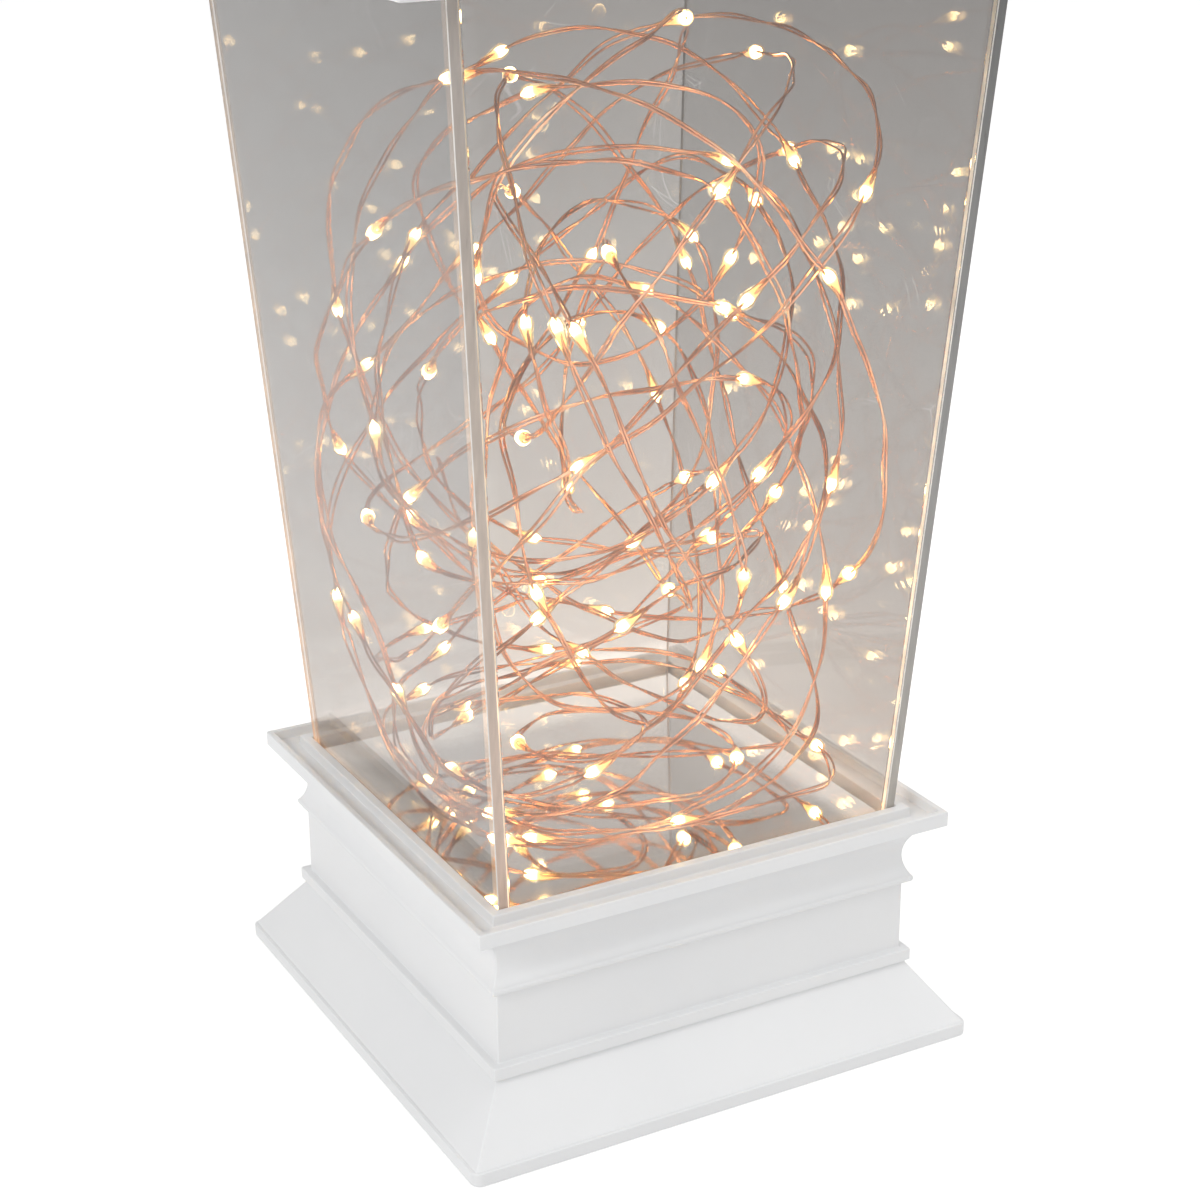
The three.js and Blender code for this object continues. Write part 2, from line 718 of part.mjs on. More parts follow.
// The wire's place after a number of loops: a flat coil on the floor that opens into loose tilted loops
function nestPoint(turn) {
  const opened = THREE.MathUtils.smoothstep(turn, ...coilLoops);
  const angle = 2 * Math.PI * turn;
  const tilt = coilTilt + opened * (loopTilt + loopTiltSwing * wander(turn, 0.83, 1.01));
  const heading = loopTurn * turn + loopTurnSwing * wander(turn, 0.47, 5.23);
  const radius = coilRadius + loopRadiusSwing * wander(turn, 1.31, 7.64) + loopRadiusGain * opened;
  const stretch = 1 + opened * (loopStretch + loopStretchSwing * wander(turn, 0.71, 5.6));
  const coilLevel = coilFoot + coilRise * turn * (1 - opened);
  const level = coilLevel + opened * (loopLevel + loopLevelSwing * wander(turn, 0.59, 3.76));
  const across = radius * Math.cos(angle) + opened * bendAcross * wander(turn, 9.1, 6.55);
  const along = radius * stretch * Math.sin(angle);
  const out = opened * (bendOut * wander(turn, 6.7, 3.69) + kinkOut * wander(turn, 17, 1.5));
  const forward = along * Math.cos(tilt) - out * Math.sin(tilt);
  const middleX = loopDrift * wander(turn, 1.07, 2.02);
  const middleY = loopDrift * wander(turn, 0.93, 9.05);
  const x = middleX + across * Math.cos(heading) - forward * Math.sin(heading);
  const y = middleY + across * Math.sin(heading) + forward * Math.cos(heading);
  const rise = level + along * Math.sin(tilt) + out * Math.cos(tilt) - nestFloorGap;
  const z = mirrorTop + nestFloorGap + nestHeight / 2 + held(rise - nestHeight / 2, nestHeight / 2);
  return new THREE.Vector3(held(x, nestRoom(z)), held(y, nestRoom(z)), z);
}

const loopSteps = 720; // places looked at in each loop
const wireStep = dropletLength + dropletMargin;

// From the board, up through the deck and the mirror, and round into the first loop
function leadIn() {
  const first = nestPoint(0);
  const onward = nestPoint(1 / loopSteps).sub(first).normalize();
  const floor = new THREE.Vector3(...wireHole, mirrorTop);
  const curve = new THREE.CubicBezierCurve3(
    floor,
    floor.clone().add(new THREE.Vector3(0, 0, leadInReach / 2)),
    first.clone().addScaledVector(onward, -leadInReach),
    first,
  );
  const foot = new THREE.Vector3(...wireHole, boardTop + fit);
  return [foot, ...curve.getPoints(leadInSteps).slice(0, -1)];
}

// Nearest points of two straight stretches, as shares of their lengths, and the way between them
function nearest(a, aEnd, b, bEnd) {
  const u = aEnd.clone().sub(a);
  const v = bEnd.clone().sub(b);
  const w = a.clone().sub(b);
  const uu = u.dot(u);
  const uv = u.dot(v);
  const vv = v.dot(v);
  const clamp = THREE.MathUtils.clamp;
  let s = clamp((uv * v.dot(w) - vv * u.dot(w)) / Math.max(uu * vv - uv * uv, 1e-9), 0, 1);
  const t = clamp((uv * s + v.dot(w)) / vv, 0, 1);
  s = clamp((uv * t - u.dot(w)) / uu, 0, 1);
  const between = w.addScaledVector(u, s).addScaledVector(v, -t);
  return { s, t, between, distance: between.length() };
}

// Every pair of stretches, not near along the wire, that comes closer than its two radii and a gap
function closePairs(points, radii, gap) {
  const leastApart = 4;
  const pairs = [];
  for (let i = 0; i < points.length - 1; i += 1) {
    const iLength = points[i].distanceTo(points[i + 1]);
    for (let j = i + leastApart; j < points.length - 1; j += 1) {
      const need = radii[i] + radii[j] + gap;
      const far = iLength + points[j].distanceTo(points[j + 1]) + need;
      if (points[i].distanceTo(points[j]) > far) continue;
      const near = nearest(points[i], points[i + 1], points[j], points[j + 1]);
      if (near.distance < need) pairs.push({ i, j, need, ...near });
    }
  }
  return pairs;
}

// Strands that would touch are pushed apart, as they lie on each other; the first few points stay
function settled(points, radii, heldPoints) {
  const mostRounds = 200;
  let route = points;
  for (let round = 0; round < mostRounds; round += 1) {
    const pairs = closePairs(route, radii, stringGap);
    if (pairs.length === 0) break;
    const moves = route.map(() => new THREE.Vector3());
    for (const { i, j, s, t, between, distance, need } of pairs) {
      const push = between.clone().normalize().multiplyScalar((need - distance) / 2 + settleMargin);
      moves[i].addScaledVector(push, 1 - s);
      moves[i + 1].addScaledVector(push, s);
      moves[j].addScaledVector(push, t - 1);
      moves[j + 1].addScaledVector(push, -t);
    }
    route = route.map((point, i) => (i < heldPoints ? point : inRoom(point.clone().add(moves[i]))));
  }
  return route;
}

// A point kept off the floor and the panels
function inRoom(point) {
  const z = Math.max(point.z, mirrorTop + nestFloorGap + dropletDiameter / 2);
  const room = nestRoom(z);
  const clamp = THREE.MathUtils.clamp;
  return new THREE.Vector3(clamp(point.x, -room, room), clamp(point.y, -room, room), z);
}

// Bends along the loops, all about one step apart
function loopPoints() {
  const points = [nestPoint(0)];
  for (let i = 1; i <= stringLoops * loopSteps; i += 1) {
    const point = nestPoint(i / loopSteps);
    if (point.distanceTo(points.at(-1)) >= wireStep) points.push(point);
  }
  return points;
}

// Which stretches carry a droplet: one about every pitch along the wire
function dropletStretches(points, firstStretch) {
  const stretches = new Set();
  let length = 0;
  for (let i = firstStretch; i < points.length - 1; i += 1) {
    length += points[i].distanceTo(points[i + 1]);
    if (length > ledPitch * (stretches.size + 0.5)) stretches.add(i);
  }
  return stretches;
}

function lightString() {
  const lead = leadIn();
  const start = [...lead, ...loopPoints()];
  const droplets = dropletStretches(start, lead.length);
  const thick = start.map((point, i) => (droplets.has(i) ? dropletDiameter : wireDiameter) / 2);
  const route = settled(start, thick, lead.length);
  reportGap(route, thick);
  const points = [];
  const radii = [];
  route.forEach((point, i) => {
    points.push(point);
    radii.push(wireDiameter / 2);
    if (!droplets.has(i)) return;
    const along = route[i + 1].clone().sub(point).normalize();
    points.push(point.clone().addScaledVector(along, dropletShoulder));
    radii.push(dropletDiameter / 2);
    points.push(point.clone().addScaledVector(along, dropletLength));
    radii.push(wireDiameter / 2);
  });
  return tube(points, radii, wireSides);
}

function reportGap(route, radii) {
  const search = 4 * stringGap;
  const gaps = closePairs(route, radii, search).map(({ distance, need }) => distance - need + search);
  const least = Math.min(search, ...gaps).toFixed(2);
  const length = route.slice(1).reduce((sum, point, i) => sum + point.distanceTo(route[i]), 0);
  console.log(`light string: ${length.toFixed(0)} mm, least gap to itself ${least} mm`);
}

// Top frame, roof and ring

function topFrame() {
  const channelOuter = bodyHalf(panelTop) + fit;
  const seatHalf = roofWidth / 2 - wall - fit;
  const frame = squareTurned([
    [0, webFoot],
    [railOuter - railWidth, webFoot],
    [railOuter - railWidth, brimFoot],
    [railOuter, brimFoot],
    [railOuter, webFoot],
    [channelOuter, webFoot],
    [channelOuter, brimFoot],
    [brimWidth / 2, brimFoot],
    [brimWidth / 2, brimTop],
    [seatHalf, brimTop],
    [seatHalf, webTop],
    [0, webTop],
  ]);
  const holes = fourCorners(roofScrewSpacing).map(([x, y]) => {
    return post(screwRadius + fit, webFoot - wall, webTop + wall, x, y);
  });
  return cut(frame, ...holes);
}

function roof() {
  const eaves = [roofWidth / 2, roofEaves];
  const ridge = [roofTopWidth / 2, roofTop];
  const insideWidth = roofWidth - 2 * wall;
  const slopes = arc(eaves, ridge, roofSag, 12);
  const innerSlopes = arc(eaves, ridge, roofSag, 12, wall);
  const innerFoot = roofFoot - wall;
  const outer = squareTurned([[0, roofFoot], [roofWidth / 2, roofFoot], ...slopes, [0, roofTop]]);
  const inner = squareTurned([[0, innerFoot], [roofWidth / 2, innerFoot], ...innerSlopes, [0, roofTop]]);
  const hollow = common(inner, box(insideWidth, insideWidth, innerFoot, roofTop - wall));
  const posts = fourCorners(roofScrewSpacing).map(([x, y]) => {
    return common(post(postRadius, webTop + fit, roofTop, x, y), outer);
  });
  const pilots = fourCorners(roofScrewSpacing).map(([x, y]) => {
    return post(screwRadius + fit, webFoot - wall, webFoot + screwLength, x, y);
  });
  const studHole = post(lugStudRadius + fit, roofTop - 2 * wall, roofTop + wall);
  return cut(join(cut(outer, hollow), ...posts), ...pilots, studHole);
}

function ventCap() {
  const neckTop = capFoot + capNeckHeight;
  const coveEnd = [capBrimWidth / 2 - coveSetback, capBrimFoot];
  const cap = squareTurned([
    [0, capBrimFoot],
    [capNeckWidth / 2 - wall, capBrimFoot],
    [capNeckWidth / 2 - wall, capFoot],
    [capNeckWidth / 2, capFoot],
    ...arc([capNeckWidth / 2, neckTop], coveEnd, capCoveSag, 6),
    [capBrimWidth / 2, capBrimFoot],
    [capBrimWidth / 2, capBrimTop],
    [capTopWidth / 2, capTop],
    [0, capTop],
  ]);
  return cut(cap, post(lugStudRadius + fit, capBrimFoot - wall, capTop + wall));
}

// The lug: a stud through the cap and the roof, a flange and an eye whose bore runs along X
function ringLug() {
  const flangeTop = lugFoot + lugFlangeHeight;
  const studFoot = roofTop - wall - studProjection;
  const neckTop = flangeTop + eyeWire / 3;
  const stem = turned([[0, studFoot], [lugStudRadius, studFoot], [lugStudRadius, lugFoot],
    [lugFlangeRadius, lugFoot], [lugFlangeRadius, flangeTop], [eyeWire / 2, neckTop], [0, neckTop]]);
  const eye = new THREE.TorusGeometry(eyeRadius, eyeWire / 2, 8, 18).rotateY(Math.PI / 2);
  return join(stem, eye.translate(0, 0, eyeLevel));
}

function lugNut() {
  const top = roofTop - wall - fit;
  const hexagon = post(nutAcross / Math.sqrt(3), top - nutHeight, top, 0, 0, 6);
  return cut(hexagon, post(lugStudRadius + fit, top - nutHeight - wall, top + wall));
}

// How far the ring lies below level when it rests on the edge of the vent cap
function ringDroop() {
  const edgeOut = capBrimWidth / 2;
  const edgeDown = eyeLevel - capBrimTop;
  const edgeDistance = Math.hypot(edgeOut, edgeDown);
  return Math.atan2(edgeDown, edgeOut) - Math.asin((ringWire / 2 + fit) / edgeDistance);
}

// The ring in its own frame: it hangs on the X axis and reaches out along +Y
function carryRing() {
  const radius = (ringDiameter - ringWire) / 2;
  return new THREE.TorusGeometry(radius, ringWire / 2, 10, 36).translate(0, radius, 0);
}

// Assembly

const lantern = new THREE.Group();

function add(name, geometry, finish, parent = lantern) {
  const mesh = new THREE.Mesh(geometry, new THREE.MeshStandardMaterial(finish));
  mesh.name = name;
  parent.add(mesh);
  return mesh;
}

add('base_plinth', basePlinth(), whiteMoulding);
add('bottom_cover', bottomCover(), whiteMoulding);
fourCorners(screwSpacing).forEach(([x, y], i) => {
  add(`cover_screw_${i + 1}`, screw(coverFoot + fit / 2, true), nickel).position.set(x, y, 0);
});

add('battery_holder', batteryHolder(), blackMoulding);
for (let lane = 0; lane < cellCount; lane += 1) {
  const piece = add(`battery_cell_${lane + 1}`, cell(), cellJacket);
  piece.position.set(laneX(lane), cellY(lane), cellLevel);
  piece.rotation.z = cellDirection(lane) > 0 ? 0 : Math.PI;
}
add('negative_contact', contact([0], -1, true), nickel);
add('front_bridge_contact', contact([1, 2], -1, false), nickel);
add('rear_bridge_contact', contact([0, 1], 1, false), nickel);
add('positive_contact', contact([2], 1, true), nickel);
add('battery_door', batteryDoor(), whiteMoulding);

add('switch_housing', switchHousing(), blackMoulding);
add('switch_knob', switchKnob(), blackMoulding);
add('timer_board', timerBoard(), boardLaminate);
add('negative_lead', batteryLead(contactTab(0, -1), negativeRoute, negativePad), blackInsulation);
add('positive_lead', batteryLead(contactTab(cellCount - 1, 1), positiveRoute, positivePad), redInsulation);

add('mirror_floor', mirrorFloor(), mirrorSheet);
const betweenSides = sheetAcross + fit;
['front', 'right', 'back', 'left'].forEach((side, quarter) => {
  const turn = new THREE.Group();
  turn.rotation.z = quarter * Math.PI / 2;
  lantern.add(turn);
  add(`panel_${side}`, panel(quarter % 2 === 0 ? betweenSides : 0), clearSheet, turn);
});
add('light_string', lightString(), copper);

add('top_frame', topFrame(), whiteMoulding);
fourCorners(roofScrewSpacing).forEach(([x, y], i) => {
  add(`roof_screw_${i + 1}`, screw(webFoot - screwHeadHeight - fit, false), nickel).position.set(x, y, 0);
});
add('roof', roof(), whiteMoulding);
add('vent_cap', ventCap(), whiteMoulding);
add('ring_lug', ringLug(), paintedSteel);
add('lug_nut', lugNut(), nickel);
const ringHinge = new THREE.Group();
ringHinge.position.z = eyeLevel;
ringHinge.rotation.x = -ringDroop();
lantern.add(ringHinge);
add('carry_ring', carryRing(), paintedSteel, ringHinge);

export default lantern;
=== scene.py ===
import math

import bmesh
import bpy
import numpy as np
from mathutils import Matrix, Vector


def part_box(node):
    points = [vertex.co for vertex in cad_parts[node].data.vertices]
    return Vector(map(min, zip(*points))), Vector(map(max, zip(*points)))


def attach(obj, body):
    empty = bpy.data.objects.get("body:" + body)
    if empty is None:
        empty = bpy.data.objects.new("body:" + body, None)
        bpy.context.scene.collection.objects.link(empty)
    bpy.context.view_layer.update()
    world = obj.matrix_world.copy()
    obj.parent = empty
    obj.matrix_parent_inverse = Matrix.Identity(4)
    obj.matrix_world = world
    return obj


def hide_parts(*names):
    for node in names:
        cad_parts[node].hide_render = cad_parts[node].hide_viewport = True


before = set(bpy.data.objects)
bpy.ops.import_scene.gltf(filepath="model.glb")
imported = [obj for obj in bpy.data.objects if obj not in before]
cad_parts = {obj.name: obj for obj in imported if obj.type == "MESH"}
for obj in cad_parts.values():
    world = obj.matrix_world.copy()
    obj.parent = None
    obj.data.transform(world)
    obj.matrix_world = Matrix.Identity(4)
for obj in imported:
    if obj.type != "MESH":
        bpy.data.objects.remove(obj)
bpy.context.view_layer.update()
MM = 0.001

# Camera, as the photograph sees the lantern
CAMERA_PLACE = (-289.4, -533.8, 349.3)
CAMERA_YAW = 28.64
CAMERA_PITCH = 20.98
CAMERA_ROLL = -0.35
CAMERA_LENS = 72.69
CAMERA_NEAR = 10

# Floor, sky and lamps, each lamp with its place, width and power
FLOOR_REACH = 30000
FLOOR_DROP = 0.2
FLOOR_GLOW = 0.5
SKY_LIGHT = 0.55
LAMP_TARGET = (0, 0, 200)
LAMPS = {
    "left_softbox": ((-1300, -500, 900), 600, 8.6),
    "top_softbox": ((200, -200, 1600), 700, 6.2),
    "front_softbox": ((700, -1600, 700), 800, 3.6),
}

# Walls and fits
WALL = 2.5
FIT = 0.3

# Clear body
BODY_BOTTOM_WIDTH = 118
BODY_FLARE = 14.1
BODY_HEIGHT = 222.7
SHEET = 2.8
SHEET_CHAMFER = 0.22
# Painted shade: each sheet darkened by its own share, and the right and back sheets painted darker still; all
# four are the same clear acrylic
PANEL_PAINTED_SHADES = {"front": 1.0, "right": 0.86, "back": 1.07, "left": 0.66}
PAINTED_SHADE_PANELS = ("right", "back")
# Painted shade: a darkening share for each sheet's sawn edges
EDGE_PAINTED_SHADES = {"front": 1.0, "right": 0.8, "back": 1.0, "left": 1.05}
# Painted light: width and strength of the glow at the left sheet's ends, and strength of the glow on the
# front sheet's sawn ends
LIT_END = 2.7
END_GLOW = 0.36
CUT_EDGE_GLOW = 1.1
MIRROR = 2

# Plinth, from the rim down
INNER_LIP_WIDTH = 2.6
INNER_LIP_DRAFT = 0.35
RIM_GROOVE_WIDTH = 5.5
RIM_GROOVE_DEPTH = 2.7
RIM_LIP_WIDTH = 1.9
RIM_HEIGHT = 4.2
DECK_DEPTH = 4.3
COVE_REACH = 6
COVE_HEIGHT = 15.6
COVE_SAG = 4.4
COVE_SETBACK = 0.6
BEAD_HEIGHT = 2.1
BEAD_NOSE = 0.6
BEAD_REACH = 2.2
FRIEZE_HEIGHT = 20.3
LISTEL_HEIGHT = 3.5
LISTEL_NECK = 0.7
SKIRT_INSET = 1.1
SKIRT_HEIGHT = 16.1
SKIRT_FLARE = 11.8
PLATE_REACH = 1
PLATE_HEIGHT = 3.8
PLATE_CORNER = 2.5
COVER_LIP_WIDTH = 4.4
COVER_RECESS = 2.5
COVER_THICKNESS = 3

# Top frame, roof and vent cap
BRIM_REACH = 18.9
BRIM_HEIGHT = 5
CHANNEL_DEPTH = 6
RAIL_WIDTH = 2.5
ROOF_INSET = 2.5
ROOF_LIP_HEIGHT = 6
ROOF_RISE = 55
ROOF_SAG = 9
ROOF_LEDGE = 4
CAP_NECK_WIDTH = 42
CAP_NECK_HEIGHT = 9
CAP_COVE_HEIGHT = 6
CAP_COVE_SAG = 1.6
CAP_BRIM_REACH = 5
CAP_BRIM_HEIGHT = 3.5
CAP_HIP_HEIGHT = 10
CAP_TOP_WIDTH = 12

# Moulded edges
EDGE = 0.35
SOFT_EDGE = 0.6
CORNER = 0.45
BLUNT_ANGLE = 155
KEPT_EDGE = 0.25
KEPT_EDGE_ANGLE = 40
KEPT_FLAT_ANGLE = 1
KEPT_WELD = 0.005

# Lug and ring
LUG_FLANGE_RADIUS = 5
LUG_FLANGE_HEIGHT = 1.6
LUG_STUD_RADIUS = 2
EYE_WIRE = 3.6
RING_WIRE = 4
RING_SLACK = 0.6
RING_DIAMETER = 52
STUD_PROJECTION = 5

# Screws
SCREW_RADIUS = 1.4
SCREW_HEAD_RADIUS = 3.2
SCREW_HEAD_HEIGHT = 2
SCREW_LENGTH = 12
SCREW_CROSS_LENGTH = 3.6
SCREW_CROSS_WIDTH = 0.8
SCREW_CROSS_DEPTH = 1.0
SCREW_EDGE = 0.15
SCREW_SIDES = 28

# Light string, as the solid's route
WIRE_HOLE = (-36, 22)
BOARD_TOP = 12.7
STRING_LOOPS = 24
LOOP_STEPS = 720
LED_PITCH = 100
WIRE_DIAMETER = 1.4
DROPLET_DIAMETER = 4.2
DROPLET_LENGTH = 10
DROPLET_SHOULDER = 0.27
DROPLET_TAIL = 0.34
DROPLET_MARGIN = 9
NEST_FLOOR_GAP = 1.4
NEST_WALL_GAP = 2.6
NEST_TOP_GAP = 3.3
STRING_GAP = 0.5
SETTLE_MARGIN = 0.01
SETTLE_ROUNDS = 200
LEAD_IN_REACH = 22
LEAD_IN_STEPS = 7
COIL_LOOPS = (2, 5)
COIL_RADIUS = 42
COIL_FOOT = 3
COIL_RISE = 3
COIL_TILT = 0.1
LOOP_RADIUS_GAIN = 18
LOOP_RADIUS_SWING = 26
LOOP_STRETCH = 0.18
LOOP_STRETCH_SWING = 0.29
LOOP_TILT = 1.0
LOOP_TILT_SWING = 0.47
LOOP_LEVEL = 99
LOOP_LEVEL_SWING = 64
LOOP_DRIFT = 10
LOOP_TURN = 0.875
LOOP_TURN_SWING = 1.36
BEND_ACROSS = 8.5
BEND_OUT = 10
KINK_OUT = 2.7

# Strands and droplets of the string
STRAND_DIAMETER = 0.7
STRAND_PARTING = 0.36
STRAND_SPREAD = 0.5
STRAND_TWIST = 70
STRAND_SIDES = 7
STRAND_CRIMP = 0.5
CURVE_STEPS = 7
CORE_SHARE = 0.42
CORE_START = 0.05
CORE_END = 0.84
CORE_HOT = 0.45
DIODE_GLOW = 700
DIODE_DIMMEST = 0.06
DIODE_SEED = 5

# Widths across the flats and levels that these sizes give
BODY_TOP_WIDTH = BODY_BOTTOM_WIDTH + 2 * BODY_FLARE
RIM_WIDTH = BODY_BOTTOM_WIDTH + 2 * (FIT + INNER_LIP_WIDTH + RIM_GROOVE_WIDTH + RIM_LIP_WIDTH)
BEAD_WIDTH = RIM_WIDTH - 2 * COVE_REACH
FRIEZE_WIDTH = BEAD_WIDTH - 2 * BEAD_REACH
SKIRT_TOP_WIDTH = BEAD_WIDTH - 2 * SKIRT_INSET
SKIRT_FOOT_WIDTH = SKIRT_TOP_WIDTH + 2 * SKIRT_FLARE
PLATE_WIDTH = SKIRT_FOOT_WIDTH + 2 * PLATE_REACH
BRIM_WIDTH = BODY_TOP_WIDTH + 2 * BRIM_REACH
ROOF_WIDTH = BRIM_WIDTH - 2 * ROOF_INSET
ROOF_TOP_WIDTH = CAP_NECK_WIDTH + 2 * ROOF_LEDGE
CAP_BRIM_WIDTH = CAP_NECK_WIDTH + 2 * CAP_BRIM_REACH
SKIRT_TOP = PLATE_HEIGHT + SKIRT_HEIGHT
LISTEL_FOOT = SKIRT_TOP + LISTEL_NECK
FRIEZE_FOOT = LISTEL_FOOT + LISTEL_HEIGHT
FRIEZE_TOP = FRIEZE_FOOT + FRIEZE_HEIGHT
COVE_FOOT = FRIEZE_TOP + BEAD_HEIGHT
RIM_FOOT = COVE_FOOT + COVE_HEIGHT
RIM_TOP = RIM_FOOT + RIM_HEIGHT
DECK_TOP = RIM_TOP - DECK_DEPTH
DECK_FOOT = DECK_TOP - WALL
BRIM_FOOT = RIM_TOP + BODY_HEIGHT
BRIM_TOP = BRIM_FOOT + BRIM_HEIGHT
WEB_FOOT = BRIM_FOOT + CHANNEL_DEPTH
WEB_TOP = WEB_FOOT + WALL
PANEL_FOOT = DECK_TOP + FIT
PANEL_TOP = WEB_FOOT - FIT
MIRROR_TOP = DECK_TOP + FIT + MIRROR
TAPER = BODY_FLARE / BODY_HEIGHT
LEAN = math.atan(TAPER)
SHEET_ACROSS = SHEET / math.cos(LEAN)
ROOF_FOOT = BRIM_TOP + FIT
ROOF_EAVES = ROOF_FOOT + ROOF_LIP_HEIGHT
ROOF_TOP = ROOF_EAVES + ROOF_RISE
CAP_FOOT = ROOF_TOP + FIT
CAP_BRIM_FOOT = CAP_FOOT + CAP_NECK_HEIGHT + CAP_COVE_HEIGHT
CAP_BRIM_TOP = CAP_BRIM_FOOT + CAP_BRIM_HEIGHT
CAP_TOP = CAP_BRIM_TOP + CAP_HIP_HEIGHT
LUG_FOOT = CAP_TOP + FIT
EYE_RADIUS = RING_WIRE / 2 + RING_SLACK + EYE_WIRE / 2
EYE_LEVEL = LUG_FOOT + LUG_FLANGE_HEIGHT + EYE_RADIUS + EYE_WIRE / 2
COVER_TOP = COVER_RECESS + COVER_THICKNESS
NEST_HEIGHT = BRIM_FOOT - NEST_TOP_GAP - NEST_FLOOR_GAP - MIRROR_TOP


def body_half(z):
    """Outer half width of the clear body at a height."""
    return BODY_BOTTOM_WIDTH / 2 + (z - RIM_TOP) * TAPER


# Shader nodes

class Shading:
    """A material under construction, with one Principled shader."""

    def __init__(self, name, **sockets):
        self.material = bpy.data.materials.new(name)
        self.material.use_nodes = True
        self.tree = self.material.node_tree
        self.shader = self.tree.nodes["Principled BSDF"]
        for socket, value in sockets.items():
            self.shader.inputs[socket.replace("_", " ").title().replace("Ior", "IOR")].default_value = value
        self.place = self.node("ShaderNodeTexCoord").outputs["Object"]

    def node(self, kind, settings=None, **sockets):
        made = self.tree.nodes.new(kind)
        for key, value in (settings or {}).items():
            setattr(made, key, value)
        for key, value in sockets.items():
            self.feed(made.inputs[key], value)
        return made

    def feed(self, socket, value):
        """A socket takes a fixed value, or a link from another node."""
        if isinstance(value, bpy.types.NodeSocket):
            self.tree.links.new(value, socket)
        else:
            socket.default_value = value

    def noise(self, scale, detail=3.0, stretch=None):
        """Noise over the object, with features about 1 / scale metres wide."""
        source = self.place
        if stretch:
            source = self.node("ShaderNodeMapping", Scale=stretch, Vector=source).outputs["Vector"]
        return self.node("ShaderNodeTexNoise", Scale=scale, Detail=detail, Vector=source).outputs["Fac"]

    def specks(self, scale, size):
        """1 on a few small spots and 0 elsewhere; some of them are faint."""
        made = self.node("ShaderNodeTexVoronoi", Scale=scale, Vector=self.place)
        spots = self.span(made.outputs["Distance"], 1.0, 0.0, size * 0.6, size)
        kept = self.node("ShaderNodeSeparateColor", Color=made.outputs["Color"])
        return self.combine("MULTIPLY", spots, self.span(kept.outputs["Red"], 0.0, 0.8, 0.55, 0.9))

    def hairlines(self, scale, width):
        """1 along broken thin lines and 0 elsewhere."""
        bent = self.node("ShaderNodeTexNoise", Scale=scale * 0.8, Detail=2.0, Vector=self.place)
        moved = self.node("ShaderNodeVectorMath", {"operation": "MULTIPLY_ADD"})
        for socket, value in zip(moved.inputs, (bent.outputs["Color"], (0.03, 0.03, 0.03), self.place)):
            self.feed(socket, value)
        place = moved.outputs["Vector"]
        made = self.node("ShaderNodeTexVoronoi", {"feature": "DISTANCE_TO_EDGE"}, Scale=scale, Vector=place)
        lines = self.span(made.outputs["Distance"], 1.0, 0.0, width * 0.4, width)
        return self.combine("MULTIPLY", lines, self.span(self.noise(scale * 2.1), 0.0, 1.0, 0.54, 0.66))

    def ramp(self, source, *stops):
        """Colours at positions along a value."""
        made = self.node("ShaderNodeValToRGB", Fac=source)
        elements = made.color_ramp.elements
        while len(elements) < len(stops):
            elements.new(0.5)
        for element, (position, colour) in zip(elements, stops):
            element.position = position
            element.color = (*colour, 1)
        return made.outputs["Color"]

    def span(self, source, low, high, from_low=0.0, from_high=1.0):
        """A value moved from one range to another."""
        limits = {"From Min": from_low, "From Max": from_high, "To Min": low, "To Max": high}
        return self.node("ShaderNodeMapRange", Value=source, **limits).outputs["Result"]

    def blend(self, share, first, second, how="MIX"):
        """Two colours mixed by a value."""
        settings = {"data_type": "RGBA", "blend_type": how}
        return self.node("ShaderNodeMix", settings, Factor=share, A=first, B=second).outputs["Result"]

    def combine(self, operation, *values):
        """One value from one or two others."""
        made = self.node("ShaderNodeMath", {"operation": operation})
        for socket, value in zip(made.inputs, values):
            self.feed(socket, value)
        return made.outputs["Value"]

    def coordinate(self, axis):
        return self.node("ShaderNodeSeparateXYZ", Vector=self.place).outputs[axis]

    def colour(self, source):
        self.feed(self.shader.inputs["Base Color"], source)

    def mottle(self, source, dark, light):
        """A colour that wavers between two along a value."""
        self.colour(self.ramp(source, (0.3, dark), (0.7, light)))

    def light(self, colour, strength):
        """Light of one colour or of a ramp's colours, with a strength that varies."""
        self.feed(self.shader.inputs["Emission Color"], colour)
        self.feed(self.shader.inputs["Emission Strength"], strength)

    def roughness(self, source, low, high):
        self.feed(self.shader.inputs["Roughness"], self.span(source, low, high))

    def bump(self, source, distance, strength=1.0):
        made = self.node("ShaderNodeBump", Strength=strength, Distance=distance, Height=source)
        normal = self.shader.inputs["Normal"]
        if normal.is_linked:
            self.feed(made.inputs["Normal"], normal.links[0].from_socket)
        self.feed(normal, made.outputs["Normal"])

    def lets_lamps_through(self, colour):
        """Shadow rays pass, so that lamps reach what is behind."""
        clear = self.node("ShaderNodeBsdfTransparent", Color=(*colour, 1))
        shadow = self.node("ShaderNodeLightPath").outputs["Is Shadow Ray"]
        mix = self.node("ShaderNodeMixShader", Fac=shadow)
        self.feed(mix.inputs[1], self.shader.outputs["BSDF"])
        self.feed(mix.inputs[2], clear.outputs["BSDF"])
        self.feed(self.tree.nodes["Material Output"].inputs["Surface"], mix.outputs["Shader"])


# Materials

def white_plastic():
    look = Shading("white_moulding", roughness=0.3, ior=1.5)
    cloudy = look.ramp(look.noise(16), (0.3, (0.80, 0.805, 0.812)), (0.7, (0.835, 0.838, 0.842)))
    dust = look.ramp(look.noise(60), (0.4, (0.30, 0.29, 0.28)), (0.6, (0.45, 0.44, 0.43)))
    look.colour(look.blend(look.specks(34, 0.012), cloudy, dust))
    look.roughness(look.noise(240), 0.26, 0.38)
    look.bump(look.noise(45, 2.0), 0.00012, 0.35)
    look.bump(look.noise(1500, 2.0), 0.00002, 0.4)
    return look.material


